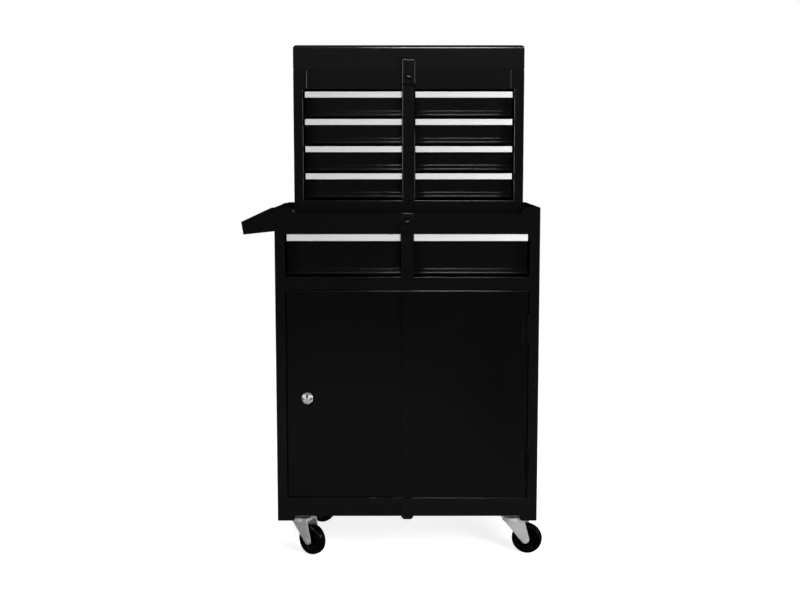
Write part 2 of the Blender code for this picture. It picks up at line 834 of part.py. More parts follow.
def make_door_lock(x, z):
    """A round knob that turns a cam behind the door. The cam hangs down when unlocked."""
    tail = DOOR_DEPTH + CAM_THICKNESS * 2
    face = KNOB_PROUD
    lip = KNOB_FLANGE
    shank = LOCK_RADIUS
    profile = [
        (0, face),
        (KNOB_RADIUS - 2 * lip, face),
        (KNOB_RADIUS - lip, face - lip / 2),
        (KNOB_RADIUS - lip, lip * 2),
        (KNOB_RADIUS, lip),
        (KNOB_RADIUS, GAP),
        (shank, GAP),
        (shank, -DOOR_DEPTH - GAP),
        (shank / 2, -DOOR_DEPTH - GAP),
        (shank / 2, -tail),
        (0, -tail),
    ]
    knob = turned("door_lock_knob", profile, CHROME, (x, FRONT, z), (pi / 2, 0, 0), ROOT)
    keyway = box_mesh("knob_keyway", (KEYWAY_WIDTH, KEYWAY_LENGTH, LOCK_PROUD * 2))
    slot = add("knob_keyway", keyway, None, (x, FRONT - face, z), (pi / 2, 0, 0))
    boolean(knob, slot, "DIFFERENCE")
    half = CAM_WIDTH / 2
    outline = arc((0, 0), half, 0, pi, 8) + arc((0, -CAM_REACH), half, pi, 2 * pi, 8)
    hole = arc((0, 0), shank / 2 + GAP, 0, 2 * pi * (SMALL_STEPS - 1) / SMALL_STEPS, SMALL_STEPS - 1)
    plane = FRONT + DOOR_DEPTH + GAP * 2 + CAM_THICKNESS / 2
    flat_plate("door_lock_cam", [outline, hole], CAM_THICKNESS, ALONG_Y, ZINC, (x, plane, z))


# Drawers, pulls and runners


def drawer_mesh(name, width, height, depth):
    """The mesh of a drawer, counted from the bottom middle of its front.

    The front is one folded sheet: flat behind the pull, then two steps out at its foot.
    """
    step = STEP_OUT
    fold = [
        (SHEET, 0),
        (-2 * step, 0),
        (-2 * step, LOWER_STEP_HEIGHT - step / 2),
        (-step, LOWER_STEP_HEIGHT),
        (-step, UPPER_STEP_HEIGHT - step / 2),
        (0, UPPER_STEP_HEIGHT),
        (0, height),
    ]
    front = folded_sheet(name, fold, width, BLACK_PAINT)
    half = width / 2 - BOX_SIDE_INSET
    tray = open_box(
        name + "_box",
        (-half, SHEET / 2, BOX_FLOOR_RISE),
        (half, depth, height - BOX_TOP_DROP),
        [(0, 0, 1)],
        BLACK_PAINT,
    )
    boolean(front, tray, "UNION")
    return mesh_of(front)


def pull_curve(name, height, length):
    """An extruded pull: a face with a rolled top and a hooked foot for the fingers."""
    deep = PULL_DEPTH
    wall = PULL_WALL
    round_top = arc((-deep + wall * 2, height - wall * 2), wall * 2, pi, pi / 2, 4)
    outline = [
        (0, height),
        (0, height - wall),
        (-deep + wall * 2, height - wall),
        (-deep + wall, height - wall * 2),
        (-deep + wall, wall),
        (-deep + wall * 2, wall / 2),
        (-deep + wall * 2, 0),
        (-deep + wall / 2, 0),
        (-deep, wall / 2),
        *round_top,
    ]
    curve = bpy.data.curves.new(name, "CURVE")
    curve.dimensions = "2D"
    curve.fill_mode = "BOTH"
    curve.extrude = length / 2
    curve.resolution_u = 1
    spline = curve.splines.new("POLY")
    spline.points.add(len(outline) - 1)
    for point, (y, z) in zip(spline.points, outline):
        point.co = (y, z, 0, 1)
    spline.use_cyclic_u = True
    return curve


def weld_runner(wall, wall_x, inward, reach, bottom, start, end, parent):
    """An angle runner welded to a wall. Its lip carries one side of a drawer."""
    fold = [
        (wall_x, bottom + RUNNER_HEIGHT),
        (wall_x, bottom),
        (wall_x + inward * reach, bottom),
    ]
    middle = (0, (start + end) / 2, 0)
    made = folded_sheet("runner", fold, end - start, BLACK_PAINT, middle, parent)
    made.rotation_euler = (0, 0, -pi / 2)
    made.modifiers[0].offset = inward
    boolean(wall, made, "UNION")


def drawer_bank(prefix, parent, shell, divider, rows, opening_side, opening_bottom,
                opening_height, plane, back, outer_wall, pull_height, top_gap):
    """Two columns of drawers in one opening, with their pulls and runners."""
    pitch = (opening_height - top_gap) / rows
    height = pitch - FRONT_CLEARANCE
    inner = BAR_WIDTH / 2 + RUN_GAP
    outer = opening_side - FRONT_SIDE_GAP
    width = outer - inner
    depth = back - BOX_BACK_GAP - (plane + FRONT_SETBACK)
    mesh = drawer_mesh(prefix + "_drawer", width, height, depth)
    curve = pull_curve(prefix + "_pull", pull_height, width)
    for row in range(rows):
        bottom = opening_bottom + (rows - 1 - row) * pitch + FRONT_CLEARANCE
        for side, hand in ((-1, "left"), (1, "right")):
            label = f"{hand}_{row + 1}" if rows > 1 else hand
            middle = side * (inner + outer) / 2
            front = plane + FRONT_SETBACK
            add(f"{prefix}_drawer_{label}", mesh, None, (middle, front, bottom), parent=parent)
            add(
                f"{prefix}_pull_{label}",
                curve,
                SATIN_ALUMINIUM,
                (middle, front - GAP, bottom + height - pull_height),
                ALONG_X,
                parent,
            )
            lip_z = bottom + BOX_FLOOR_RISE - GAP - SHEET
            start = plane + RETURN_DEPTH + RUN_GAP
            outer_reach = outer_wall - (outer - BOX_SIDE_INSET - RUNNER_LIP)
            inner_reach = inner + BOX_SIDE_INSET + RUNNER_LIP
            stretch = (lip_z, start, back - GAP, parent)
            weld_runner(shell, side * outer_wall, -side, outer_reach, *stretch)
            weld_runner(divider, 0, side, inner_reach, *stretch)


def make_drawers(cabinet_shell, chest_shell):
    """Eight drawers in the chest and two in the cabinet, with the walls between the columns."""
    chest_divider = box(
        "chest_divider",
        (-SHEET / 2, CHEST_FRONT + RETURN_DEPTH + GAP, CHEST_BOTTOM + SHEET + GAP),
        (SHEET / 2, CHEST_BACK - SHEET - GAP, TRAY_FLOOR - GAP),
        BLACK_PAINT,
        CHEST_ROOT,
    )
    cabinet_divider = box(
        "cabinet_divider",
        (-SHEET / 2, FRONT + RETURN_DEPTH + GAP, DRAWER_BOTTOM - RUNNER_LIP),
        (SHEET / 2, BACK - SHEET - GAP, SEAT_Z - SHEET - GAP),
        BLACK_PAINT,
    )
    drawer_bank(
        "chest", CHEST_ROOT, chest_shell, chest_divider, CHEST_ROWS, CHEST_OPENING_SIDE,
        CHEST_OPENING_BOTTOM, CHEST_OPENING_HEIGHT, CHEST_FRONT, CHEST_BACK - SHEET,
        CHEST_SIDE - SHEET / 2, CHEST_PULL_HEIGHT, CHEST_TOP_GAP,
    )
    drawer_bank(
        "cabinet", ROOT, cabinet_shell, cabinet_divider, 1, OPENING_SIDE, DRAWER_BOTTOM,
        CABINET_DRAWER_HEIGHT, FRONT, BACK - SHEET, SIDE - SHEET / 2, CABINET_PULL_HEIGHT,
        CABINET_TOP_GAP,
    )


# Top chest


def make_chest_body():
    """Shell, flanged front with a raised head panel, and the tray under the lid."""
    shell = open_box(
        "chest_shell",
        (-CHEST_SIDE, CHEST_FRONT + SHEET + GAP, CHEST_BOTTOM),
        (CHEST_SIDE, CHEST_BACK, CHEST_BODY_TOP),
        [(0, -1, 0), (0, 0, 1)],
        BLACK_PAINT,
        CHEST_ROOT,
    )
    outline = rectangle(-CHEST_SIDE, CHEST_SIDE, CHEST_BOTTOM, CHEST_BODY_TOP)
    opening = rectangle(
        -CHEST_OPENING_SIDE, CHEST_OPENING_SIDE, CHEST_OPENING_BOTTOM, CHEST_OPENING_TOP
    )
    frame = front_frame(
        "chest_front_frame", outline, [opening], CHEST_FRONT, BLACK_PAINT, CHEST_ROOT
    )
    for side in (-1, 1):
        near = side * (BAR_WIDTH / 2 + GAP)
        far = side * (CHEST_OPENING_SIDE - RAISED_INSET)
        panel = box(
            f"raised_panel_{side}",
            (min(near, far), CHEST_FRONT - RAISED_DEPTH, CHEST_OPENING_TOP + SHEET),
            (max(near, far), CHEST_FRONT + SHEET / 2, CHEST_BODY_TOP - SHEET),
            BLACK_PAINT,
            CHEST_ROOT,
        )
        boolean(frame, panel, "UNION")
    inside = CHEST_SIDE - SHEET - RUN_GAP
    open_box(
        "chest_top_tray",
        (-inside, CHEST_FRONT + SHEET + RUN_GAP, TRAY_FLOOR),
        (inside, CHEST_BACK - SHEET - RUN_GAP, CHEST_BODY_TOP + TRAY_RIM_RISE),
        [(0, 0, 1)],
        BLACK_PAINT,
        CHEST_ROOT,
    )
    return shell


def make_lid():
    """A lid with a rolled crown on a welded band, on a long hinge behind."""
    lid_top = LID_BOTTOM + LID_HEIGHT
    seam = lid_top - LID_CROWN
    open_box(
        "chest_lid_band",
        (-CHEST_SIDE, CHEST_FRONT, LID_BOTTOM),
        (CHEST_SIDE, CHEST_BACK, seam),
        [(0, 0, 1), (0, 0, -1)],
        BLACK_PAINT,
        CHEST_ROOT,
    )
    low = Vector((-CHEST_SIDE, CHEST_FRONT, seam))
    high = Vector((CHEST_SIDE, CHEST_BACK, lid_top))
    bm = bmesh.new()
    bmesh.ops.create_cube(bm, size=1.0)
    bmesh.ops.scale(bm, vec=high - low, verts=bm.verts)
    bm.normal_update()
    under = [face for face in bm.faces if face.normal.z < -cos(pi / 4)]
    bmesh.ops.delete(bm, geom=under, context="FACES_ONLY")
    crown = max(vert.co.z for vert in bm.verts)
    rim = [edge for edge in bm.edges if all(vert.co.z > crown - GAP for vert in edge.verts)]
    bmesh.ops.bevel(
        bm, geom=rim, offset=LID_ROUND, offset_type="OFFSET", segments=4, profile=0.5,
        affect="EDGES",
    )
    mesh = bpy.data.meshes.new("chest_lid")
    bm.to_mesh(mesh)
    bm.free()
    lid = add("chest_lid", shaded(mesh), BLACK_PAINT, (low + high) / 2, parent=CHEST_ROOT)
    solidify(lid)
    axis = Vector((0, CHEST_BACK + GAP + LID_HINGE_RADIUS, CHEST_BODY_TOP + GAP / 2))
    empty("lid_axis", axis, CHEST_ROOT)
    turn = Matrix(((0, 0, -1), (0, -1, 0), (-1, 0, 0))).to_euler()
    common = (LID_HINGE_RADIUS, LID_HINGE_PIN_RADIUS, LID_HINGE_LEAF, LID_HINGE_LENGTH)
    fixed = [(0, 0.2), (0.4, 0.6), (0.8, 1)]
    moving = [(0.2, 0.4), (0.6, 0.8)]
    place = (BLACK_PAINT, axis, turn, CHEST_ROOT)
    hinge_half("lid_hinge_body_leaf", *common, fixed, 1, *place)
    hinge_half("lid_hinge_lid_leaf", *common, moving, -1, *place)


# Side tray


def make_side_tray():
    """A small-parts bin on the left side, with its rim falling away from the cabinet."""
    inner = -SIDE - GAP
    outer = inner - TRAY_WIDTH
    top = CABINET_TOP
    outline = [
        (inner, top),
        (inner - TRAY_LEDGE, top),
        (outer, top - TRAY_OUTER_DROP),
        (outer + TRAY_OUTER_HEIGHT / 6, top - TRAY_OUTER_DROP - TRAY_OUTER_HEIGHT),
        (inner, top - TRAY_INNER_HEIGHT),
    ]
    prism(
        "side_tray",
        outline,
        TRAY_LENGTH,
        ALONG_Y,
        BLACK_PAINT,
        (0, FRONT + SHEET + TRAY_LENGTH / 2, 0),
        open_sides=(0, 1),
    )


# Casters


def wheel_mesh():
    """A moulded wheel turned about z: hub, web, rim and crowned tread."""
    half = WHEEL_WIDTH / 2
    web = WEB_THICKNESS / 2
    hub = HUB_WIDTH / 2
    bore = AXLE_RADIUS + GAP
    rim = WHEEL_RADIUS - RIM_DEPTH
    shoulder = WHEEL_RADIUS - TREAD_ROUND
    upper = [
        (bore, hub),
        (HUB_RADIUS - GAP * 3, hub),
        (HUB_RADIUS, web),
        (rim, web),
        (rim, half),
        (shoulder, half),
    ]
    upper += arc((shoulder, half - TREAD_ROUND), TREAD_ROUND, pi / 2, 0, 4)[1:]
    lower = [(radius, -height) for radius, height in reversed(upper)]
    profile = upper + lower + upper[:1]
    return mesh_of(turned("wheel_form", profile, WHEEL_PLASTIC))


def fork_mesh():
    """A pressed fork about its swivel axis: crown, two raked legs and the riveted axle.

    The wheel trails along local +x, and z is counted from the floor.
    """
    crown_top = FLOOR_HEIGHT - GAP - PLATE_THICKNESS - RACE_HEIGHT - GAP
    crown_bottom = crown_top - FORK_SHEET
    inner = HUB_WIDTH / 2 + FORK_SIDE_GAP
    outer = inner + FORK_SHEET
    ahead, behind = -FORK_TOP_AHEAD, FORK_TOP_BEHIND
    axle = (CASTER_TRAIL, WHEEL_RADIUS)
    end = arc(axle, FORK_END_RADIUS, radians(-145), radians(10), 8)
    outline = [(ahead, crown_top), (ahead, crown_bottom - FORK_SHEET * 2), *end,
               (behind, crown_bottom - FORK_SHEET), (behind, crown_top)]
    inside = CROWN_RADIUS - FORK_SHEET
    dish = [
        (0, crown_top),
        (inside, crown_top),
        (CROWN_RADIUS, crown_bottom),
        (CROWN_RADIUS, crown_top - CROWN_DEPTH),
        (inside, crown_top - CROWN_DEPTH),
        (inside, crown_bottom),
        (0, crown_bottom),
    ]
    fork = turned("fork_form", dish, ZINC)
    bridge = box("fork_bridge", (ahead, -outer, crown_bottom), (behind, outer, crown_top))
    boolean(fork, bridge, "UNION")
    for side in (-1, 1):
        middle = side * (inner + outer) / 2
        leg = flat_plate(
            f"fork_leg_{side}", [outline], FORK_SHEET, ALONG_Y, None, (0, middle, 0)
        )
        boolean(fork, leg, "UNION")
    head = outer + AXLE_HEAD
    parts = [("axle", AXLE_RADIUS, -head, head)]
    parts += [("head_left", AXLE_HEAD_RADIUS, -head, -inner - FORK_SHEET / 2)]
    parts += [("head_right", AXLE_HEAD_RADIUS, inner + FORK_SHEET / 2, head)]
    for name, radius, start, stop in parts:
        rivet = cylinder(
            f"fork_{name}", radius, (axle[0], start, axle[1]), (axle[0], stop, axle[1]),
            steps=SMALL_STEPS,
        )
        boolean(fork, rivet, "UNION")
    hole = cylinder(
        "fork_hole",
        KINGPIN_RADIUS + GAP,
        (0, 0, crown_bottom - OVERRUN),
        (0, 0, crown_top + OVERRUN),
        steps=SMALL_STEPS,
    )
    boolean(fork, hole, "DIFFERENCE")
    return mesh_of(fork)


def caster_plate(name, x, y):
    """A top plate with its raceway and the kingpin that holds the fork."""
    top = FLOOR_HEIGHT - GAP
    bottom = top - PLATE_THICKNESS
    crown_bottom = bottom - RACE_HEIGHT - GAP - FORK_SHEET
    plate = box(
        name,
        (x - PLATE_LENGTH / 2, y - PLATE_WIDTH / 2, bottom),
        (x + PLATE_LENGTH / 2, y + PLATE_WIDTH / 2, top),
        ZINC,
    )
    lip = RACE_HEIGHT / 2
    pin = KINGPIN_RADIUS
    head_top = crown_bottom - GAP
    profile = [
        (0, bottom + PLATE_THICKNESS / 2),
        (RACE_RADIUS + lip, bottom + PLATE_THICKNESS / 2),
        (RACE_RADIUS + lip, bottom - lip),
        (RACE_RADIUS, bottom - RACE_HEIGHT),
        (pin, bottom - RACE_HEIGHT),
        (pin, head_top),
        (pin * 1.5, head_top),
        (pin * 1.5, head_top - KINGPIN_HEAD / 2),
        (pin, head_top - KINGPIN_HEAD),
        (0, head_top - KINGPIN_HEAD),
    ]
    race = turned(name + "_race", profile, ZINC, (x, y, 0), steps=SMALL_STEPS)
    return boolean(plate, race, "UNION")


def make_casters():
    """Four swivel casters, each turned to its own heading."""
    wheel = wheel_mesh()
    fork = fork_mesh()
    for corner, heading in CASTER_HEADINGS.items():
        x = CASTER_X if corner.endswith("right") else -CASTER_X
        y = CASTER_REAR_Y if corner.startswith("rear") else CASTER_FRONT_Y
        caster_plate(f"{corner}_caster_plate", x, y)
        swivel = empty(f"{corner}_swivel", (x, y, 0), ROOT, heading)
        add(f"{corner}_fork", fork, None, parent=swivel)
        add(
            f"{corner}_wheel",
            wheel,
            None,
            (CASTER_TRAIL, 0, WHEEL_RADIUS),
            (pi / 2, 0, 0),
            swivel,
        )


shell_below = make_cabinet_body()
shell_above = make_chest_body()
make_drawers(shell_below, shell_above)
make_cabinet_bar()
make_chest_bar()
make_door()
make_lid()
make_side_tray()
make_casters()
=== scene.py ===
"""Looks of the rolling tool cabinet: gloss black sheet steel, satin pulls, zinc casters."""

import json
from math import cos, pi, radians, sin

import bmesh
import bpy
from mathutils import Matrix, Vector


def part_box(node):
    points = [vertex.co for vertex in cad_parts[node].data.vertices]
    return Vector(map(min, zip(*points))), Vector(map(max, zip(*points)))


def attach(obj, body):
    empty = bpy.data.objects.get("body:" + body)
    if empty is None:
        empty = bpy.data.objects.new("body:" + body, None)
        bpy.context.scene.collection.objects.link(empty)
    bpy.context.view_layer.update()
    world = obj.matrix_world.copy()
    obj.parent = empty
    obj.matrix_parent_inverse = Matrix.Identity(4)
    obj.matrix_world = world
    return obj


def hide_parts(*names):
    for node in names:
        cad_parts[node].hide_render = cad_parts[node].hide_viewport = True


MM = 0.001


def in_mm(points):
    """Profile points given in millimetres."""
    return [(a * MM, b * MM) for a, b in points]


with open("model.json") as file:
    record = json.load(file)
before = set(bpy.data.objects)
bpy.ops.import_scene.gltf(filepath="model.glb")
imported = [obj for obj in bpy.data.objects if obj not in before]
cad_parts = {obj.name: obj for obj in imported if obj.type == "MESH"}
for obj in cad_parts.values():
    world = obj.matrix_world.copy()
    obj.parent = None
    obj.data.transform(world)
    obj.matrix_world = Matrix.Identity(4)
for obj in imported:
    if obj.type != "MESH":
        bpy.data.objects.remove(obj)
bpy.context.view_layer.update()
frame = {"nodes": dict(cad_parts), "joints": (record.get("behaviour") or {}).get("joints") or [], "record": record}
NODES = frame["nodes"]
BODY_OF = {
    node: body
    for body, members in frame["record"]["behaviour"]["bodies"].items()
    for node in members
}

SHEET = 1.2 * MM
FOLD = 1.8 * MM
GAP = 0.3 * MM
SMOOTH_ANGLE = radians(35)

# Camera: the place and lens that match the photograph
CAMERA_DISTANCE = 2.6
CAMERA_HEIGHT = 0.851
CAMERA_PITCH = radians(6.67)
LENS_PIXELS = 1239
PHOTO_WIDTH = 800
SENSOR_WIDTH = 36
SHIFT_X = -0.0091
SHIFT_Y = 0.0051

front_low, front_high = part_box("cabinet_front_frame")
CENTRE_X = (front_low.x + front_high.x) / 2
FRONT_Y = front_low.y


# Materials


def smooth_shade(mesh, angle=SMOOTH_ANGLE):
    """Smooth shading up to an angle, sharp edges above it."""
    mesh.shade_smooth()
    mesh.set_sharp_from_angle(angle=angle)


class Nodes:
    """A short way to build a node tree."""

    def __init__(self, tree):
        self.tree = tree

    def add(self, kind, inputs=None, **settings):
        node = self.tree.nodes.new(kind)
        for name, value in settings.items():
            setattr(node, name, value)
        for name, value in (inputs or {}).items():
            socket = node.inputs[name]
            if isinstance(value, bpy.types.NodeSocket):
                self.tree.links.new(value, socket)
            else:
                socket.default_value = value
        return node

    def ramp(self, value, stops, smooth=False):
        node = self.add("ShaderNodeValToRGB", {"Fac": value})
        elements = node.color_ramp.elements
        if smooth:
            node.color_ramp.interpolation = "EASE"
        while len(elements) > 1:
            elements.remove(elements[0])
        elements[0].position, elements[0].color = stops[0][0], grey(stops[0][1])
        for place, tone in stops[1:]:
            elements.new(place).color = grey(tone)
        return node.outputs["Color"]


def grey(tone):
    """A colour from one tone, or from three."""
    if isinstance(tone, (int, float)):
        tone = (tone, tone, tone)
    return (*tone, 1)


def principled(name):
    """A new material, its node builder, its shader and object coordinates."""
    made = bpy.data.materials.new(name)
    made.use_nodes = True
    build = Nodes(made.node_tree)
    shader = made.node_tree.nodes["Principled BSDF"]
    place = build.add("ShaderNodeTexCoord").outputs["Object"]
    return made, build, shader, place


def noise(build, place, scale, detail=3.0, roughness=0.5):
    """A noise value between 0 and 1."""
    inputs = {"Vector": place, "Scale": scale, "Detail": detail, "Roughness": roughness}
    return build.add("ShaderNodeTexNoise", inputs).outputs["Fac"]


def bump(build, shader, height, distance, strength=1.0):
    """Raise the surface by a height texture."""
    node = build.add(
        "ShaderNodeBump", {"Height": height, "Distance": distance, "Strength": strength}
    )
    build.tree.links.new(node.outputs["Normal"], shader.inputs["Normal"])


METAL_GRAIN = 0.02 * MM
PLASTIC_GRAIN = 0.04 * MM


def paint(name, tone, rough_low=0.13, rough_high=0.16, peel=0.004 * MM):
    """Gloss enamel over sheet steel, with the slight waviness of a sprayed coat."""
    made, build, shader, place = principled(name)
    cloud = noise(build, place, 5.0, 2.0)
    fine = noise(build, place, 420.0, 2.0)
    shader.inputs["Specular IOR Level"].default_value = 0.5
    tones = build.ramp(cloud, [(0.3, tone * 0.9), (0.7, tone * 1.1)])
    build.tree.links.new(tones, shader.inputs["Base Color"])
    rough = build.ramp(cloud, [(0.3, rough_low), (0.7, rough_high)])
    build.tree.links.new(rough, shader.inputs["Roughness"])
    bump(build, shader, fine, peel)
    return made


def metal(name, tone, rough_low, rough_high, streak, streak_scale):
    """Bare or plated metal with fine streaks along one axis."""
    made, build, shader, place = principled(name)
    shader.inputs["Metallic"].default_value = 1.0
    stretched = build.add(
        "ShaderNodeMapping", {"Vector": place, "Scale": streak_scale}
    ).outputs["Vector"]
    lines = noise(build, stretched, 300.0, 4.0, 0.6)
    cloud = noise(build, place, 14.0, 3.0)
    tones = build.ramp(lines, [(0.3, tuple(t * (1 - streak) for t in tone)), (0.7, tone)])
    build.tree.links.new(tones, shader.inputs["Base Color"])
    rough = build.ramp(cloud, [(0.3, rough_low), (0.7, rough_high)])
    build.tree.links.new(rough, shader.inputs["Roughness"])
    bump(build, shader, lines, METAL_GRAIN)
    return made


def pull_finish():
    """Satin anodised extrusion: pale, fine lines along its length."""
    made, build, shader, place = principled("satin_pull")
    shader.inputs["Metallic"].default_value = 0.35
    stretched = build.add(
        "ShaderNodeMapping", {"Vector": place, "Scale": (0.02, 1.0, 1.0)}
    ).outputs["Vector"]
    lines = noise(build, stretched, 900.0, 3.0, 0.6)
    tones = build.ramp(lines, [(0.3, (0.475, 0.475, 0.48)), (0.7, (0.545, 0.545, 0.55))])
    build.tree.links.new(tones, shader.inputs["Base Color"])
    rough = build.ramp(lines, [(0.3, 0.42), (0.7, 0.5)])
    build.tree.links.new(rough, shader.inputs["Roughness"])
    bump(build, shader, lines, METAL_GRAIN)
    return made


def rubber(name, tone, low, high):
    """Moulded black plastic, slightly dusty."""
    made, build, shader, place = principled(name)
    cloud = noise(build, place, 60.0, 5.0, 0.6)
    fine = noise(build, place, 900.0, 2.0)
    shader.inputs["Specular IOR Level"].default_value = 0.09
    tones = build.ramp(cloud, [(0.35, tone * 0.8), (0.7, tone * 1.5)])
    build.tree.links.new(tones, shader.inputs["Base Color"])
    rough = build.ramp(cloud, [(0.3, low), (0.7, high)])
    build.tree.links.new(rough, shader.inputs["Roughness"])
    bump(build, shader, fine, PLASTIC_GRAIN)
    return made


# One gloss black paint in several tones: the lid's copy is lighter as painted light, and the door's and the
# drawers' copies are darker as painted shade.
PAINT = paint("gloss_black", 0.0014)
PAINT_LID_LIT = paint("lid_black_lit", 0.0020)
PAINT_DOOR_SHADED = paint("door_black_shaded", 0.0008)
PAINT_DRAWER_SHADED = paint("drawer_black_shaded", 0.0010)
PAINT_INSIDE = paint("inside_black", 0.0030, 0.34, 0.44, 0.02 * MM)
PULL = pull_finish()
CHROME = metal("polished_chrome", (0.58, 0.58, 0.595), 0.14, 0.22, 0.03, (1, 1, 1))
CHROME.node_tree.nodes["Principled BSDF"].inputs["Metallic"].default_value = 0.65
ZINC = metal("bright_zinc", (0.40, 0.40, 0.41), 0.34, 0.46, 0.08, (1, 1, 0.1))
ZINC.node_tree.nodes["Principled BSDF"].inputs["Metallic"].default_value = 0.3
WHEEL = rubber("wheel_black", 0.0006, 0.16, 0.2)
# Near-black plastic: the hinge sleeves' own colour, and painted shade in the knob's hollows, round the knob and
# under the caster plates
SHADE_AND_SLEEVE_BLACK = rubber("shade_and_sleeve_black", 0.0005, 0.5, 0.6)
DARK_LOCK = rubber("dark_lock", 0.0006, 0.3, 0.4)
PLUG = metal("lock_plug", (0.34, 0.34, 0.35), 0.2, 0.3, 0.1, (1, 1, 1))

FINISH = {
    "black_paint": PAINT,
    "satin_aluminium": PULL,
    "chrome": CHROME,
    "zinc_plate": ZINC,
    "wheel_plastic": WHEEL,
}
SLOT_OF = {row["node"]: row["material_slot"] for row in frame["record"]["subparts"]}
INSIDE = {
    "chest_divider",
    "cabinet_divider",
    "cabinet_shelf",
    "cabinet_floor",
    "chest_top_tray",
}
for node, obj in NODES.items():
    finish = PAINT_INSIDE if node in INSIDE else FINISH[SLOT_OF[node]]
    obj.data.materials.clear()
    obj.data.materials.append(finish)
    smooth_shade(obj.data)


# Pieces

DRESSED = []


def dress(name, mesh, finish, node, replaces=True, smooth=SMOOTH_ANGLE):
    """Put a finished mesh on the body of a node, in that node's place."""
    made = bpy.data.objects.new(name, mesh)
    bpy.context.scene.collection.objects.link(made)
    mesh.materials.append(finish)
    smooth_shade(mesh, smooth)
    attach(made, BODY_OF[node])
    if replaces:
        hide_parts(node)
    DRESSED.append(made)
    return made


def worked(made):
    """Apply the modifiers of an object to its mesh."""
    bpy.context.view_layer.update()
    seen = made.evaluated_get(bpy.context.evaluated_depsgraph_get())
    mesh = bpy.data.meshes.new_from_object(seen)
    old = made.data
    made.modifiers.clear()
    made.data = mesh
    if not old.users:
        bpy.data.meshes.remove(old)
    return made


def thicken(made, thickness=SHEET, rim=0.35 * MM):
    """Give a surface its sheet thickness, inwards, with eased rims."""
    step = made.modifiers.new("sheet", "SOLIDIFY")
    step.thickness = thickness
    step.offset = -1
    step.use_even_offset = True
    if rim:
        ease = made.modifiers.new("rim", "BEVEL")
        ease.width = rim
        ease.segments = 2
        ease.limit_method = "ANGLE"
        ease.angle_limit = radians(60)
    return worked(made)


def mesh_of(bm, name):
    mesh = bpy.data.meshes.new(name)
    bm.to_mesh(mesh)
    bm.free()
    return mesh


def cube(low, high):
    """A bmesh box between two corners."""
    bm = bmesh.new()
    bmesh.ops.create_cube(bm, size=1.0)
    size = Vector(high) - Vector(low)
    bmesh.ops.scale(bm, vec=size, verts=bm.verts)
    bmesh.ops.translate(bm, vec=(Vector(low) + Vector(high)) / 2, verts=bm.verts)
    bm.normal_update()
    return bm


def pan(name, low, high, open_ways, fold=FOLD, segments=3):
    """A sheet box, open on some faces, with rounded folds."""
    bm = cube(low, high)
    gone = [f for f in bm.faces if any(f.normal.dot(Vector(w)) > 0.7 for w in open_ways)]
    bmesh.ops.delete(bm, geom=gone, context="FACES_ONLY")
    loose = [e for e in bm.edges if not e.link_faces]
    bmesh.ops.delete(bm, geom=loose, context="EDGES")
    folds = [e for e in bm.edges if len(e.link_faces) == 2]
    if folds:
        bmesh.ops.bevel(
            bm, geom=folds, offset=fold, segments=segments, profile=0.5, affect="EDGES"
        )
    return mesh_of(bm, name)


def rounded(points, radius, steps=4, closed=False):
    """Round the corners of a line of 2D points, by one radius or one each."""
    count = len(points)
    radii = radius if isinstance(radius, (list, tuple)) else [radius] * count
    out = []
    for n, point in enumerate(points):
        if radii[n] == 0 or (not closed and n in (0, count - 1)):
            out.append(point)
            continue
        here = Vector(point)
        before = Vector(points[n - 1]) - here
        after = Vector(points[(n + 1) % count]) - here
        turn = before.angle(after)
        if turn > radians(178):
            out.append(point)
            continue
        reach = min(radii[n] / max(abs(sin(turn / 2) / cos(turn / 2)), 1e-6),
                    before.length * 0.49, after.length * 0.49)
        start = here + before.normalized() * reach
        end = here + after.normalized() * reach
        for step in range(steps + 1):
            t = step / steps
            middle = start * (1 - t) ** 2 + here * 2 * t * (1 - t) + end * t**2
            out.append(tuple(middle))
    return out


def strip(name, points, stations):
    """A surface along (y, z) points, drawn through (x, y shift) stations."""
    bm = bmesh.new()
    rows = [[bm.verts.new((x, y + shift, z)) for y, z in points] for x, shift in stations]
    for one, other in zip(rows, rows[1:]):
        for n in range(len(points) - 1):
            bm.faces.new((one[n], other[n], other[n + 1], one[n + 1]))
    return mesh_of(bm, name)


def bar_mesh(name, outline, left, right, ease=0.5 * MM):
    """A closed (y, z) outline drawn along x, with eased ends."""
    bm = bmesh.new()
    ends = [[bm.verts.new((x, y, z)) for y, z in outline] for x in (left, right)]
    caps = [bm.faces.new(ends[0]), bm.faces.new(ends[1])]
    count = len(outline)
    for n in range(count):
        m = (n + 1) % count
        bm.faces.new((ends[0][n], ends[0][m], ends[1][m], ends[1][n]))
    bmesh.ops.recalc_face_normals(bm, faces=bm.faces)
    if ease:
        rims = list({e for cap in caps for e in cap.edges})
        bmesh.ops.bevel(bm, geom=rims, offset=ease, segments=4, profile=0.5, affect="EDGES")
    return mesh_of(bm, name)


def block(name, low, high, ease, segments=3):
    """A solid box with rounded edges."""
    bm = cube(low, high)
    bmesh.ops.bevel(
        bm, geom=list(bm.edges), offset=ease, segments=segments, profile=0.5, affect="EDGES"
    )
    return mesh_of(bm, name)


def plaque(name, low, high, ends, ease):
    """A thin raised plate: rounded ends, crisp long edges."""
    bm = cube(low, high)
    upright = [e for e in bm.edges if abs(e.verts[0].co.z - e.verts[1].co.z) > GAP]
    bmesh.ops.bevel(bm, geom=upright, offset=ends, segments=4, profile=0.5, affect="EDGES")
    long = [e for e in bm.edges if abs(e.verts[0].co.z - e.verts[1].co.z) < GAP / 10]
    bmesh.ops.bevel(bm, geom=long, offset=ease, segments=1, profile=0.5, affect="EDGES")
    return mesh_of(bm, name)


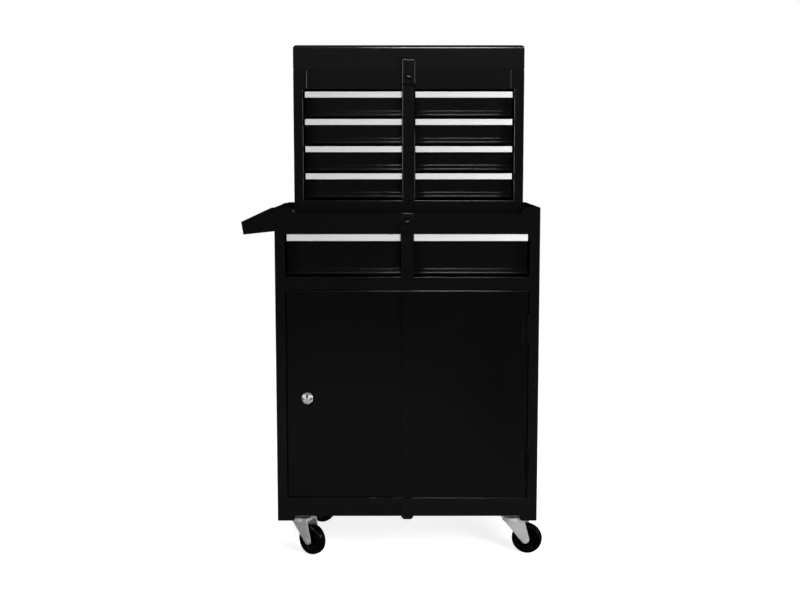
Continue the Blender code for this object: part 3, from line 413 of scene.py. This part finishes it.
def lathe(name, profile, steps=64):
    """A closed or open (radius, height) profile turned about z."""
    bm = bmesh.new()
    rows = []
    for radius, height in profile:
        if radius < 1e-7:
            rows.append([bm.verts.new((0, 0, height))])
        else:
            rows.append(
                [
                    bm.verts.new(
                        (radius * cos(2 * pi * n / steps), radius * sin(2 * pi * n / steps), height)
                    )
                    for n in range(steps)
                ]
            )
    for one, other in zip(rows, rows[1:]):
        for n in range(steps):
            m = (n + 1) % steps
            near = [one[n % len(one)], one[m % len(one)]]
            far = [other[m % len(other)], other[n % len(other)]]
            corners = []
            for vert in near + far:
                if vert not in corners:
                    corners.append(vert)
            if len(corners) > 2:
                bm.faces.new(corners)
    bmesh.ops.remove_doubles(bm, verts=bm.verts, dist=1e-6)
    bmesh.ops.recalc_face_normals(bm, faces=bm.faces)
    return mesh_of(bm, name)


def framed_sheet(name, outline, openings, plane, depth, fold, crest=None):
    """A flat front with openings whose edges roll back behind the face.

    A crest is a height at which the outline's own edge rolls back a little too.
    """
    bm = bmesh.new()
    loops = []
    for points in [outline, *openings]:
        verts = [bm.verts.new((x, plane, z)) for x, z in points]
        edges = [bm.edges.new((verts[n], verts[(n + 1) % len(verts)])) for n in range(len(verts))]
        loops.append(edges)
    bmesh.ops.triangle_fill(bm, use_beauty=True, edges=bm.edges[:], normal=(0, -1, 0))
    bm.normal_update()
    for face in bm.faces:
        if face.normal.y > 0:
            face.normal_flip()
    bmesh.ops.dissolve_limit(
        bm, angle_limit=radians(1), verts=bm.verts[:], edges=bm.edges[:], delimit=set()
    )
    rims = []
    for points in openings:
        keys = {(round(x, 5), round(z, 5)) for x, z in points}
        edges = [
            e
            for e in bm.edges
            if all((round(v.co.x, 5), round(v.co.z, 5)) in keys for v in e.verts)
            and len(e.link_faces) == 1
        ]
        grown = bmesh.ops.extrude_edge_only(bm, edges=edges)
        moved = [v for v in grown["geom"] if isinstance(v, bmesh.types.BMVert)]
        bmesh.ops.translate(bm, vec=(0, depth, 0), verts=moved)
        rims += [e for e in edges if e.is_valid]
        rims += [
            e
            for e in bm.edges
            if len({v.co.y for v in e.verts}) == 2
            and all((round(v.co.x, 5), round(v.co.z, 5)) in keys for v in e.verts)
            and (e.verts[0].co - e.verts[1].co).normalized().dot(Vector((0, 1, 0))) ** 2 > 0.9
        ]
    if crest is not None:
        edges = [
            e for e in bm.edges
            if len(e.link_faces) == 1 and all(abs(v.co.z - crest) < 1e-6 for v in e.verts)
        ]
        grown = bmesh.ops.extrude_edge_only(bm, edges=edges)
        moved = [v for v in grown["geom"] if isinstance(v, bmesh.types.BMVert)]
        bmesh.ops.translate(bm, vec=(0, fold * 2, 0), verts=moved)
        rims += [e for e in edges if e.is_valid]
    bmesh.ops.recalc_face_normals(bm, faces=bm.faces)
    if sum(f.normal.y * f.calc_area() for f in bm.faces) > 0:
        bmesh.ops.reverse_faces(bm, faces=bm.faces[:])
    rims = list(dict.fromkeys(rims))
    bmesh.ops.bevel(bm, geom=rims, offset=fold, segments=4, profile=0.5, affect="EDGES")
    return mesh_of(bm, name)


def rectangle(left, right, bottom, top):
    return [(left, bottom), (right, bottom), (right, top), (left, top)]


def cut(made, cutters):
    """Cut other objects from this one and drop them."""
    for other in cutters:
        step = made.modifiers.new("cut", "BOOLEAN")
        step.object = other
        step.operation = "DIFFERENCE"
        step.solver = "EXACT"
    worked(made)
    for other in cutters:
        bpy.data.objects.remove(other)
    return made


def spare(name, mesh):
    """An object that only cuts."""
    made = bpy.data.objects.new(name, mesh)
    bpy.context.scene.collection.objects.link(made)
    return made


def turn_to_y(mesh, centre):
    """Stand a mesh turned about z along -y, at a centre."""
    mesh.transform(Matrix.Rotation(pi / 2, 4, "X"))
    mesh.transform(Matrix.Translation(centre))
    return mesh


def refined(node, finish, ease, segments=2):
    """A node's own solid with its edges eased."""
    source = NODES[node].data
    bm = bmesh.new()
    bm.from_mesh(source)
    bmesh.ops.remove_doubles(bm, verts=bm.verts, dist=2e-6)
    bmesh.ops.dissolve_limit(
        bm, angle_limit=radians(0.6), verts=bm.verts[:], edges=bm.edges[:], delimit=set()
    )
    made = dress(node + "_eased", mesh_of(bm, node + "_eased"), finish, node)
    step = made.modifiers.new("ease", "BEVEL")
    step.width = ease
    step.segments = segments
    step.limit_method = "ANGLE"
    step.angle_limit = radians(32)
    step.use_clamp_overlap = True


# Cabinet front

cabinet_low, cabinet_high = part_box("cabinet_front_frame")
door_low, door_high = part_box("door")
_, pull_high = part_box("cabinet_pull_left")
bar_low, bar_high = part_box("cabinet_centre_bar")

FRAME_RETURN = 14 * MM
FRAME_FOLD = 1.0 * MM
DOOR_GAP = 1.5 * MM
DOOR_FOLD = 2.2 * MM
DRAWER_GAP = 1.5 * MM
POST = 21.5 * MM
CORNER = 37 * MM
CHAMFER = 4 * MM
NOTCH = 29 * MM
SLANT = 14 * MM
CORNER_DROP = 10.5 * MM
DRAWER_OPENING = 91.5 * MM

door_opening = rectangle(
    cabinet_low.x + POST, cabinet_high.x - POST, door_low.z - DOOR_GAP, door_high.z + DOOR_GAP
)
drawer_opening = rectangle(
    cabinet_low.x + POST,
    cabinet_high.x - POST,
    pull_high.z + DRAWER_GAP - DRAWER_OPENING,
    pull_high.z + DRAWER_GAP,
)
left, right = cabinet_low.x, cabinet_high.x
foot, top = cabinet_low.z, cabinet_high.z
rail = bar_high.z
outline = [
    (left, foot),
    (left + CORNER - CHAMFER, foot),
    (left + CORNER, foot + CHAMFER),
    (left + CORNER, foot + CORNER_DROP),
    (right - CORNER, foot + CORNER_DROP),
    (right - CORNER, foot + CHAMFER),
    (right - CORNER + CHAMFER, foot),
    (right, foot),
    (right, top),
    (right - NOTCH, top),
    (right - NOTCH - SLANT, rail),
    (left + NOTCH + SLANT, rail),
    (left + NOTCH, top),
    (left, top),
]
face = framed_sheet(
    "cabinet_face",
    outline,
    [drawer_opening, door_opening],
    cabinet_low.y,
    FRAME_RETURN,
    FRAME_FOLD,
    rail,
)
cabinet_face = dress("cabinet_face", face, PAINT, "cabinet_front_frame")
thicken(cabinet_face)

# Door

door_mesh = pan("door_pan", door_low, door_high, [(0, 1, 0)], DOOR_FOLD, segments=4)
door = dress("door_pan", door_mesh, PAINT_DOOR_SHADED, "door")
thicken(door)

# Chest

chest_low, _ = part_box("chest_front_frame")
body_low, body_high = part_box("chest_shell")
CHEST_POST = 20 * MM
CHEST_RAIL = 27.5 * MM
CHEST_OPENING = 231.5 * MM
CHEST_FOLD = 1.4 * MM
RAISED = 1.5 * MM
chest_plane = chest_low.y + RAISED
opening_low = body_low.z + CHEST_RAIL
chest_opening = rectangle(
    body_low.x + CHEST_POST, body_high.x - CHEST_POST, opening_low, opening_low + CHEST_OPENING
)
chest_face_mesh = framed_sheet(
    "chest_face",
    rectangle(body_low.x, body_high.x, body_low.z, body_high.z),
    [chest_opening],
    chest_plane,
    FRAME_RETURN,
    CHEST_FOLD,
)
chest_face = dress("chest_face", chest_face_mesh, PAINT, "chest_front_frame")
thicken(chest_face)
RAISED_INSET = 7.5 * MM
RAISED_ROUND = 1.0 * MM
RAISED_EASE = 0.15 * MM
chest_middle = (body_low.x + body_high.x) / 2
BAR_SIDE = 13.3 * MM
for hand, inner, outer in (
    ("left", chest_middle - BAR_SIDE, body_low.x + CHEST_POST + RAISED_INSET),
    ("right", chest_middle + BAR_SIDE, body_high.x - CHEST_POST - RAISED_INSET),
):
    panel = plaque(
        f"chest_raised_panel_{hand}",
        (min(inner, outer), chest_low.y, opening_low + CHEST_OPENING + SHEET),
        (max(inner, outer), chest_plane + SHEET, body_high.z - SHEET),
        RAISED_ROUND,
        RAISED_EASE,
    )
    dress(f"chest_raised_panel_{hand}", panel, PAINT, "chest_front_frame", replaces=False)

# Lid

lid_low, lid_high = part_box("chest_lid")
lid_low.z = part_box("chest_lid_band")[0].z
LID_ROUND = 7.5 * MM
LID_GAP = 0.9 * MM
LID_RIM = 0.12 * MM


def lid_mesh():
    bm = cube(lid_low + Vector((0, 0, LID_GAP)), lid_high)
    under = [f for f in bm.faces if f.normal.z < -0.7]
    bmesh.ops.delete(bm, geom=under, context="FACES_ONLY")
    crown = [e for e in bm.edges if all(v.co.z > lid_high.z - GAP for v in e.verts)]
    bmesh.ops.bevel(bm, geom=crown, offset=LID_ROUND, segments=8, profile=0.5, affect="EDGES")
    return mesh_of(bm, "lid_skin")


lid = dress("lid_skin", lid_mesh(), PAINT_LID_LIT, "chest_lid")
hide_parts("chest_lid_band")
thicken(lid, rim=LID_RIM)


# Drawers

END_REACH = 30 * MM
END_DROP = 1.6 * MM
STEP = 2.5 * MM
UPPER = 15.2 * MM
LOWER = 7.7 * MM
LIFT = 4 * MM
LOWER_RETURN = 4 * MM
UPPER_RETURN = 6 * MM
FRONT_ROUNDS = (0, 0.5, 1.8, 0, 1.1, 0, 1.6, 0)
DRAWER_RIM = 0.3 * MM
BOX_INSET = 3 * MM
BOX_RISE = 0.4 * MM
BOX_DROP = 14 * MM
BOX_FOLD = 1.5 * MM


def drawer_front_line(front, bottom, height):
    """The folded front of a drawer as (y, z) points."""
    line = [
        (front + LOWER_RETURN, bottom + LIFT),
        (front - 2 * STEP, bottom + LIFT),
        (front - 2 * STEP, bottom + LOWER),
        (front - STEP, bottom + LOWER + STEP / 2),
        (front - STEP, bottom + UPPER),
        (front, bottom + UPPER + STEP / 2),
        (front, bottom + height),
        (front + UPPER_RETURN, bottom + height),
    ]
    return rounded(line, [radius * MM for radius in FRONT_ROUNDS])


def eased_ends(left, right):
    """Stations along a front whose ends ease back a little, as pressed sheet does."""
    steps = [(END_REACH * n / 6, END_DROP * (1 - n / 6) ** 2) for n in range(7)]
    near = [(left + along, drop) for along, drop in steps]
    far = [(right - along, drop) for along, drop in reversed(steps)]
    return near + far


def make_drawer(node):
    """A drawer with a rolled front and a rimmed box."""
    low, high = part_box(node)
    front = low.y + 2 * STEP
    line = drawer_front_line(front, low.z, high.z - low.z)
    mesh = strip(node + "_front", line, eased_ends(low.x, high.x))
    made = dress(node + "_front", mesh, PAINT_DRAWER_SHADED, node)
    thicken(made, rim=DRAWER_RIM)
    box_low = (low.x + BOX_INSET, front + END_DROP + SHEET, low.z + LIFT + BOX_RISE)
    box_high = (high.x - BOX_INSET, high.y, high.z - BOX_DROP)
    tray = pan(node + "_box", box_low, box_high, [(0, 0, 1)], fold=BOX_FOLD)
    tray_piece = dress(node + "_box", tray, PAINT_INSIDE, node, replaces=False)
    thicken(tray_piece, rim=DRAWER_RIM)


# Pulls


PULL_WALL = 1.8 * MM
PULL_ROUND = 0.8 * MM
PULL_EASE = 0.4 * MM


def pull_outline(back, bottom, height, deep, wall=PULL_WALL):
    """The cross-section of a pull: flat face, rolled top and a hooked foot."""
    line = [
        (back, bottom + height),
        (back, bottom + height - wall),
        (back - deep + wall, bottom + height - wall),
        (back - deep + wall, bottom + wall),
        (back - deep + wall * 2, bottom + wall),
        (back - deep + wall * 2, bottom),
        (back - deep, bottom),
        (back - deep, bottom + height),
    ]
    return rounded(line, PULL_ROUND, steps=3, closed=True)


def make_pull(node):
    low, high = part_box(node)
    line = pull_outline(high.y, low.z, high.z - low.z, high.y - low.y)
    mesh = bar_mesh(node + "_satin", line, low.x, high.x, PULL_EASE)
    dress(node + "_satin", mesh, PULL, node)


for node in sorted(NODES):
    if "_drawer_" in node:
        make_drawer(node)
    elif "_pull_" in node:
        make_pull(node)


# Centre bars


BAR_ROUND = 1.2 * MM
BAR_EASE = 1.0 * MM
LOCK_HOLE = 6.7 * MM
HOLE_REACH = 20 * MM


def make_bar(node, line, holes=(), finish=PAINT):
    """A bar along an outline, with holes for its lock."""
    low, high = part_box(node)
    section = rounded(line, BAR_ROUND, closed=True)
    mesh = bar_mesh(node + "_bar", section, low.x, high.x, BAR_EASE)
    made = dress(node + "_bar", mesh, finish, node)
    cutters = []
    bore = [(0, HOLE_REACH), (LOCK_HOLE, HOLE_REACH), (LOCK_HOLE, -HOLE_REACH), (0, -HOLE_REACH)]
    for n, (x, z) in enumerate(holes):
        hole = lathe(f"{node}_hole_{n}", bore)
        cutters.append(spare(f"{node}_hole_{n}", turn_to_y(hole, (x, low.y, z))))
    if cutters:
        cut(made, cutters)
        smooth_shade(made.data)


cabinet_lock_low, cabinet_lock_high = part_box("cabinet_lock")
chest_lock_low, chest_lock_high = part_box("chest_lock")
cabinet_lock_at = (cabinet_lock_low + cabinet_lock_high) / 2
chest_lock_at = (chest_lock_low + chest_lock_high) / 2

make_bar(
    "cabinet_centre_bar",
    [(bar_low.y, bar_low.z), (bar_high.y, bar_low.z), (bar_high.y, bar_high.z),
     (bar_low.y, bar_high.z)],
    holes=[(cabinet_lock_at.x, cabinet_lock_at.z)],
)
strip_low, strip_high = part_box("door_centre_strip")
make_bar(
    "door_centre_strip",
    [(strip_low.y, strip_low.z), (strip_high.y, strip_low.z), (strip_high.y, strip_high.z),
     (strip_low.y, strip_high.z)],
    finish=PAINT_DOOR_SHADED,
)
FOOT_EASE = 0.6 * MM
refined("centre_bar_foot", PAINT, FOOT_EASE, 3)
chest_bar_low, chest_bar_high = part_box("chest_centre_bar")
HEAD = 53 * MM
NECK_SLOPE = 3 * MM
BAR_DEPTH = 6 * MM
TAB = 10 * MM
TAB_INSET = 2.4 * MM
TAB_OVERLAP = 1 * MM
TAB_EASE = 0.3 * MM
chest_bar_back = chest_bar_high.y - TAB
slim = chest_bar_back - BAR_DEPTH
neck = chest_bar_high.z - HEAD
make_bar(
    "chest_centre_bar",
    [(chest_bar_back, chest_bar_low.z), (slim, chest_bar_low.z), (slim, neck),
     (chest_bar_low.y, neck + NECK_SLOPE), (chest_bar_low.y, chest_bar_high.z),
     (chest_bar_back, chest_bar_high.z)],
    holes=[(chest_lock_at.x, chest_lock_at.z)],
)
tab = block(
    "chest_bar_tab",
    (chest_bar_low.x + TAB_INSET, slim + TAB_OVERLAP, chest_bar_low.z + GAP),
    (chest_bar_high.x - TAB_INSET, chest_bar_high.y, chest_bar_low.z + GAP + SHEET),
    TAB_EASE,
)
dress("chest_bar_tab", tab, PAINT, "chest_centre_bar", replaces=False)

# Locks and knob


LOCK_RADIUS = 6.4 * MM
PLUG_RISE = 1.5 * MM
KEYWAY_HALF = 0.4 * MM
KEYWAY_TOP = 2.2 * MM
KEYWAY_BED = 1.2 * MM
KEYWAY_REACH = 4 * MM
KEYWAY_EASE = 0.1 * MM
LOCK_RING_SHARES = [
    (0, 1.2), (0.62, 1.2), (0.66, 0.9), (0.70, 1.6), (0.78, 2.0), (0.9, 2.0), (1, 1.2),
    (1, -5), (0, -5),
]
LOCK_PLUG = in_mm([(0, 1.7), (1.9, 1.7), (2.3, 1.4), (2.4, 0.8), (0, 0.8)])


def lock_face(node, at, front):
    """A dark barrel lock with a raised ring, a plug and a keyway."""
    ring = [(LOCK_RADIUS * share, proud * MM) for share, proud in LOCK_RING_SHARES]
    mesh = turn_to_y(lathe(node + "_barrel", ring), (at.x, front, at.z))
    made = dress(node + "_barrel", mesh, DARK_LOCK, node)
    mesh = turn_to_y(lathe(node + "_plug", LOCK_PLUG, 40), (at.x, front, at.z + PLUG_RISE))
    plug_made = dress(node + "_plug", mesh, PLUG, node, replaces=False)
    way = block(
        node + "_keyway",
        (at.x - KEYWAY_HALF, front - KEYWAY_REACH, at.z - PLUG_RISE),
        (at.x + KEYWAY_HALF, front - KEYWAY_BED, at.z + KEYWAY_TOP),
        KEYWAY_EASE,
    )
    cut(plug_made, [spare(node + "_keyway", way)])
    smooth_shade(plug_made.data)


lock_face("cabinet_lock", cabinet_lock_at, bar_low.y)
lock_face("chest_lock", chest_lock_at, chest_bar_low.y)

knob_low, knob_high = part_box("door_lock_knob")
knob_at = (knob_low + knob_high) / 2
KNOB = (knob_high.x - knob_low.x) / 2
KNOB_PROUD = 12 * MM
BROW_RISE = 0.8 * MM
knob_line = [
    *in_mm([(0, 12), (5.2, 12), (5.6, 11.6), (6.0, 12), (8.2, 11.8), (9.3, 11.0)]),
    *in_mm([(9.8, 9.8), (9.9, 5.6), (10.6, 3.4)]),
    (KNOB - 0.5 * MM, 2.4 * MM), (KNOB, 1.6 * MM), (KNOB, GAP), (6.4 * MM, GAP),
    *in_mm([(6.4, -18.3), (3.2, -18.3), (3.2, -23), (0, -23)]),
]
knob_mesh = turn_to_y(lathe("knob", knob_line), (knob_at.x, door_low.y, knob_at.z))
knob = dress("knob_chrome", knob_mesh, CHROME, "door_lock_knob")
KNOB_SLOPE = radians(28)
KNOB_SMOOTH = radians(22)
BROW_CUT = 20 * MM
BROW_OVERLAP = 0.01 * MM
HOLLOW_REACH = 4 * MM
HOLLOW_EASE = 0.3 * MM
# Sizes of the near-black sheets in the knob's hollows, which are painted shade
HOLLOW_SHADE_REACH = 11 * MM
HOLLOW_SHADE_THICKNESS = 0.2 * MM
HOLLOW_SHADE_SINK = 0.4 * MM
HOLLOW_SHADE_EASE = 0.1 * MM
ridge = Vector((knob_at.x, door_low.y - KNOB_PROUD, knob_at.z + BROW_RISE))
brow = mesh_of(cube((-BROW_CUT, -BROW_CUT, 0), (BROW_CUT, 0, BROW_CUT)), "knob_brow")
brow.transform(Matrix.Translation((0, 0, -BROW_OVERLAP)))
brow.transform(Matrix.Rotation(-KNOB_SLOPE, 4, "X"))
brow.transform(Matrix.Translation(ridge))
cut(knob, [spare("knob_brow", brow)])
hollows = [
    ((-1.9 * MM, 1.6 * MM), (1.9 * MM, 9.2 * MM), 4.5 * MM),
    ((-14 * MM, -0.4 * MM), (-5.8 * MM, 1.9 * MM), 4.0 * MM),
    ((5.8 * MM, -0.4 * MM), (14 * MM, 1.9 * MM), 4.0 * MM),
]
for n, ((near, under), (far, over), deep) in enumerate(hollows):
    low = Vector((knob_at.x + near, door_low.y - KNOB_PROUD - HOLLOW_REACH, knob_at.z + under))
    high = Vector((knob_at.x + far, door_low.y - KNOB_PROUD + deep, knob_at.z + over))
    hollow = block(f"knob_hollow_{n}", low, high, HOLLOW_EASE)
    cut(knob, [spare(f"knob_hollow_{n}", hollow)])
    # A thin near-black sheet at the back of the hollow: painted shade in the hollow
    low.y = high.y - HOLLOW_SHADE_THICKNESS
    low.x = max(low.x, knob_at.x - HOLLOW_SHADE_REACH)
    high.x = min(high.x, knob_at.x + HOLLOW_SHADE_REACH)
    dark = block(f"knob_hollow_shade_{n}", low, high + Vector((0, HOLLOW_SHADE_SINK, 0)), HOLLOW_SHADE_EASE, 1)
    dress(f"knob_hollow_shade_{n}", dark, SHADE_AND_SLEEVE_BLACK, "door_lock_knob", replaces=False)
smooth_shade(knob.data, KNOB_SMOOTH)

# A near-black ring on the door round the knob: painted shade for the knob's contact shadow
shade_ring_profile = in_mm([(12.9, 0), (12.9, 1.0), (15.2, 1.0), (15.8, 0.5), (15.8, 0), (12.9, 0)])
shade_ring_mesh = turn_to_y(lathe("knob_shade_ring", shade_ring_profile), (knob_at.x, door_low.y, knob_at.z))
dress("knob_shade_ring", shade_ring_mesh, SHADE_AND_SLEEVE_BLACK, "door", replaces=False)

# Casters


PLATE = 2.5 * MM
RIVET_OUT = 18.4 * MM
CASTER_EASE = 0.4 * MM
BOLT_INSET = 5.5 * MM
RIVET = in_mm([
    (0, 0.9), (1.7, 0.8), (2.2, 0.2), (3.0, 0.2), (3.4, 0.9), (4.6, 0.9), (5.2, 0.5),
    (5.2, -0.4), (0, -0.4),
])
# Profile of a near-black ring under each caster plate: painted shade for the shadow under the swivel raceway
RACE_SHADE_PROFILE = in_mm([(21.6, 0), (23.6, -0.4), (24.4, -2.2), (23.6, -3.6), (21.6, -3.6)])
PLATE_BOLT = in_mm([(0, -2.4), (3.4, -2.4), (3.8, -2.0), (3.8, 0.3), (0, 0.3)])
# Half of the wheel's section, from the bore to the tread
WHEEL_HALF = in_mm([
    (3.9, 12.4), (5.6, 12.4), (6.2, 12.0), (8.6, 12.0), (9.4, 11.4), (9.8, 5.4),
    (11.0, 4.6), (21.6, 4.6), (22.8, 5.4), (23.4, 9.6), (24.0, 10.6), (25.4, 11.0),
    (27.4, 11.0), (29.6, 10.6), (31.2, 9.2), (32.3, 6.6), (32.85, 3.4), (33.0, 0.9),
    (32.8, 0.5), (32.8, 0.0),
])


def wheel_mesh(name):
    mirrored = [(radius, -height) for radius, height in reversed(WHEEL_HALF[:-1])]
    return lathe(name, WHEEL_HALF + mirrored + [WHEEL_HALF[0]], 72)


for joint in frame["joints"]:
    if not joint["name"].endswith("_roll"):
        continue
    node = joint["child"]
    spin = Vector(joint["axis"])
    turn = Vector((0, 0, 1)).rotation_difference(spin).to_matrix().to_4x4()
    mesh = wheel_mesh(node + "_moulded")
    mesh.transform(turn)
    mesh.transform(Matrix.Translation(joint["pos_m"]))
    dress(node + "_moulded", mesh, WHEEL, node, smooth=radians(40))
    fork, plate = node.replace("_wheel", "_fork"), node.replace("_wheel", "_caster_plate")
    refined(fork, ZINC, CASTER_EASE)
    refined(plate, ZINC, CASTER_EASE)
    for side in (-1, 1):
        cap = lathe(f"{node}_rivet_{side}", RIVET, 40)
        cap.transform(Matrix.Translation((0, 0, RIVET_OUT)))
        cap.transform((Vector((0, 0, 1)).rotation_difference(spin * side)).to_matrix().to_4x4())
        cap.transform(Matrix.Translation(joint["pos_m"]))
        dress(f"{node}_rivet_{side}", cap, ZINC, fork, replaces=False)
    plate_low, plate_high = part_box(plate)
    middle = (plate_low + plate_high) / 2
    under = plate_high.z - PLATE
    # Painted shade: a dark ring round the raceway under the plate
    race_shade = lathe(f"{plate}_seal", RACE_SHADE_PROFILE)
    race_shade.transform(Matrix.Translation((middle.x, middle.y, under)))
    dress(f"{plate}_seal", race_shade, SHADE_AND_SLEEVE_BLACK, plate, replaces=False)
    for n, (x, y) in enumerate(((-1, -1), (1, -1), (1, 1), (-1, 1))):
        bolt = lathe(f"{plate}_bolt_{n}", PLATE_BOLT, 6)
        at_x = middle.x + x * ((plate_high.x - plate_low.x) / 2 - BOLT_INSET)
        at_y = middle.y + y * ((plate_high.y - plate_low.y) / 2 - BOLT_INSET)
        bolt.transform(Matrix.Translation((at_x, at_y, under)))
        dress(f"{plate}_bolt_{n}", bolt, ZINC, plate, replaces=False)

# Hinges, tray and cam

LEAF_EASE = 0.3 * MM
TRAY_EASE = 0.4 * MM
SLEEVE = 4.2 * MM
SLEEVE_EASE = 0.6 * MM
PIN_HEAD = in_mm([(0, 1.4), (1.6, 1.1), (2.6, 0.1), (2.6, -0.4), (0, -0.4)])
for node in sorted(n for n in NODES if n.endswith("_leaf")):
    refined(node, PAINT, LEAF_EASE)
pin_at = next(Vector(j["pos_m"]) for j in frame["joints"] if j["name"] == "door_hinge")
for node in ("upper_hinge_frame_leaf", "lower_hinge_frame_leaf"):
    low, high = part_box(node)
    half = (high.z - low.z) / 2
    middle = (pin_at.x, pin_at.y, (low.z + high.z) / 2)
    sleeve = [
        (0, -half), (SLEEVE - SLEEVE_EASE, -half), (SLEEVE, -half + SLEEVE_EASE),
        (SLEEVE, half - SLEEVE_EASE), (SLEEVE - SLEEVE_EASE, half), (0, half),
    ]
    mesh = lathe(node + "_sleeve", sleeve, 40)
    mesh.transform(Matrix.Translation(middle))
    dress(node + "_sleeve", mesh, SHADE_AND_SLEEVE_BLACK, node, replaces=False)
    for side in (-1, 1):
        head = [(radius, (half + rise) * side) for radius, rise in PIN_HEAD]
        mesh = lathe(f"{node}_pin_{side}", head, 24)
        mesh.transform(Matrix.Translation(middle))
        dress(f"{node}_pin_{side}", mesh, PLUG, node, replaces=False)
refined("side_tray", PAINT, TRAY_EASE)
refined("door_lock_cam", ZINC, TRAY_EASE)

# Flat faces stay flat beside their rounded folds

for made in DRESSED:
    step = made.modifiers.new("normals", "WEIGHTED_NORMAL")
    step.mode = "FACE_AREA"
    step.weight = 90
    step.keep_sharp = True


# Stage

FLOOR_REACH = 30
FLOOR_DROP = 0.2 * MM
floor_mesh = bpy.data.meshes.new("floor")
bm = bmesh.new()
bmesh.ops.create_grid(bm, x_segments=1, y_segments=1, size=FLOOR_REACH)
bm.to_mesh(floor_mesh)
bm.free()
floor = bpy.data.objects.new("floor", floor_mesh)
bpy.context.scene.collection.objects.link(floor)
floor.location.z = -FLOOR_DROP
floor.visible_glossy = False
pale, build, shader, place = principled("pale_floor")
shader.inputs["Base Color"].default_value = grey(0.75)
shader.inputs["Roughness"].default_value = 0.9
shader.inputs["Specular IOR Level"].default_value = 0.0
shader.inputs["Emission Color"].default_value = grey(1.0)
shader.inputs["Emission Strength"].default_value = 0.8
floor_mesh.materials.append(pale)

# World: white to the camera, a grey studio to reflections

# Brightness over the share of height, and over how far to the side a reflection looks
STUDIO = [
    (0.0, 0.11), (0.358, 0.08), (0.376, 0.135), (0.40, 0.14), (0.435, 0.04), (0.47, 0.05),
    (0.50, 0.045), (0.52, 0.075), (0.533, 0.11), (0.545, 0.18), (0.62, 0.16), (0.8, 0.16),
    (1.0, 0.2),
]
FLAGS = [(0.13, 1.0), (0.19, 0.25), (0.5, 0.25), (0.65, 1.0)]
SOFT_FILL = 0.28
PATCH_PLACE = (0.069, 0, -0.178)
PATCH_TURN = radians(-27)
PATCH_SIZE = (0.032, 1000, 0.10)
PATCH_EDGE = [(0.3, 0.0), (1.0, 1.0)]

world = bpy.data.worlds.new("studio")
bpy.context.scene.world = world
world.use_nodes = True
tree = world.node_tree
tree.nodes.clear()
build = Nodes(tree)
ray = build.add("ShaderNodeLightPath")
way = build.add("ShaderNodeTexCoord").outputs["Generated"]
height = build.add("ShaderNodeSeparateXYZ", {"Vector": way}).outputs["Z"]
share = build.add("ShaderNodeMapRange", {"Value": height, "From Min": -1.0, "From Max": 1.0})
studio = build.ramp(share.outputs["Result"], STUDIO)
across = build.add("ShaderNodeSeparateXYZ", {"Vector": way}).outputs["X"]
away = build.add("ShaderNodeMath", {0: across}, operation="ABSOLUTE").outputs[0]
flags = build.ramp(away, FLAGS)
# A dark shape in the room that shows as a slanted patch on the door
patch = build.add(
    "ShaderNodeMapping",
    {
        "Vector": way,
        "Location": PATCH_PLACE,
        "Rotation": (0, PATCH_TURN, 0),
        "Scale": PATCH_SIZE,
    },
    vector_type="TEXTURE",
).outputs["Vector"]
reach = build.add("ShaderNodeVectorMath", {0: patch}, operation="LENGTH").outputs["Value"]
shade = build.ramp(reach, PATCH_EDGE, smooth=True)
strength = build.add("ShaderNodeMath", {0: flags, 1: shade}, operation="MULTIPLY").outputs[0]
glossy = build.add("ShaderNodeBackground", {"Color": studio, "Strength": strength})
soft = build.add("ShaderNodeBackground", {"Color": grey(1.0), "Strength": SOFT_FILL})
white = build.add("ShaderNodeBackground", {"Color": grey(1.0), "Strength": 1.0})
mix = build.add(
    "ShaderNodeMixShader",
    {0: ray.outputs["Is Glossy Ray"], 1: soft.outputs[0], 2: glossy.outputs[0]},
)
both = build.add(
    "ShaderNodeMixShader", {0: ray.outputs["Is Camera Ray"], 1: mix.outputs[0], 2: white.outputs[0]}
)
out = build.add("ShaderNodeOutputWorld", {"Surface": both.outputs[0]})


def area(name, at, aim, size, power, shine=True, fill=True):
    """A rectangular softbox that looks at a point."""
    data = bpy.data.lights.new(name, "AREA")
    data.shape = "RECTANGLE"
    data.size, data.size_y = size
    data.energy = power
    made = bpy.data.objects.new(name, data)
    made.location = at
    made.rotation_euler = (Vector(aim) - Vector(at)).to_track_quat("-Z", "Y").to_euler()
    made.visible_glossy = shine
    made.visible_diffuse = fill
    bpy.context.scene.collection.objects.link(made)


area("key", (CENTRE_X + 0.15, -2.05, 2.2), (CENTRE_X, 0, 0.9), (0.46, 0.3), 22, fill=False)
EDGE_HEIGHT = 1.08
EDGE_AIM = (CENTRE_X, 0, EDGE_HEIGHT)
for name, aside, power in (("left_edge", -2.0, 26), ("right_edge", 2.0, 16)):
    area(name, (CENTRE_X + aside, -0.9, EDGE_HEIGHT), EDGE_AIM, (0.8, 0.7), power, fill=False)
area("side_fill", (CENTRE_X + 0.9, -1.3, 0.7), (CENTRE_X, 0, 0.7), (0.5, 1.4), 33, shine=False)
area("top_fill", (CENTRE_X, 0.9, 3.2), (CENTRE_X, 0.9, 0), (2.0, 2.0), 25, shine=False)

# Camera

lens = bpy.data.cameras.new("camera")
lens.sensor_width = SENSOR_WIDTH
lens.lens = SENSOR_WIDTH * LENS_PIXELS / PHOTO_WIDTH
lens.shift_x = SHIFT_X
lens.shift_y = SHIFT_Y
camera = bpy.data.objects.new("camera", lens)
camera.location = (CENTRE_X, FRONT_Y - CAMERA_DISTANCE, CAMERA_HEIGHT)
camera.rotation_euler = (pi / 2 - CAMERA_PITCH, 0, 0)
bpy.context.scene.collection.objects.link(camera)
bpy.context.scene.camera = camera
bpy.context.scene.view_settings.view_transform = "Standard"
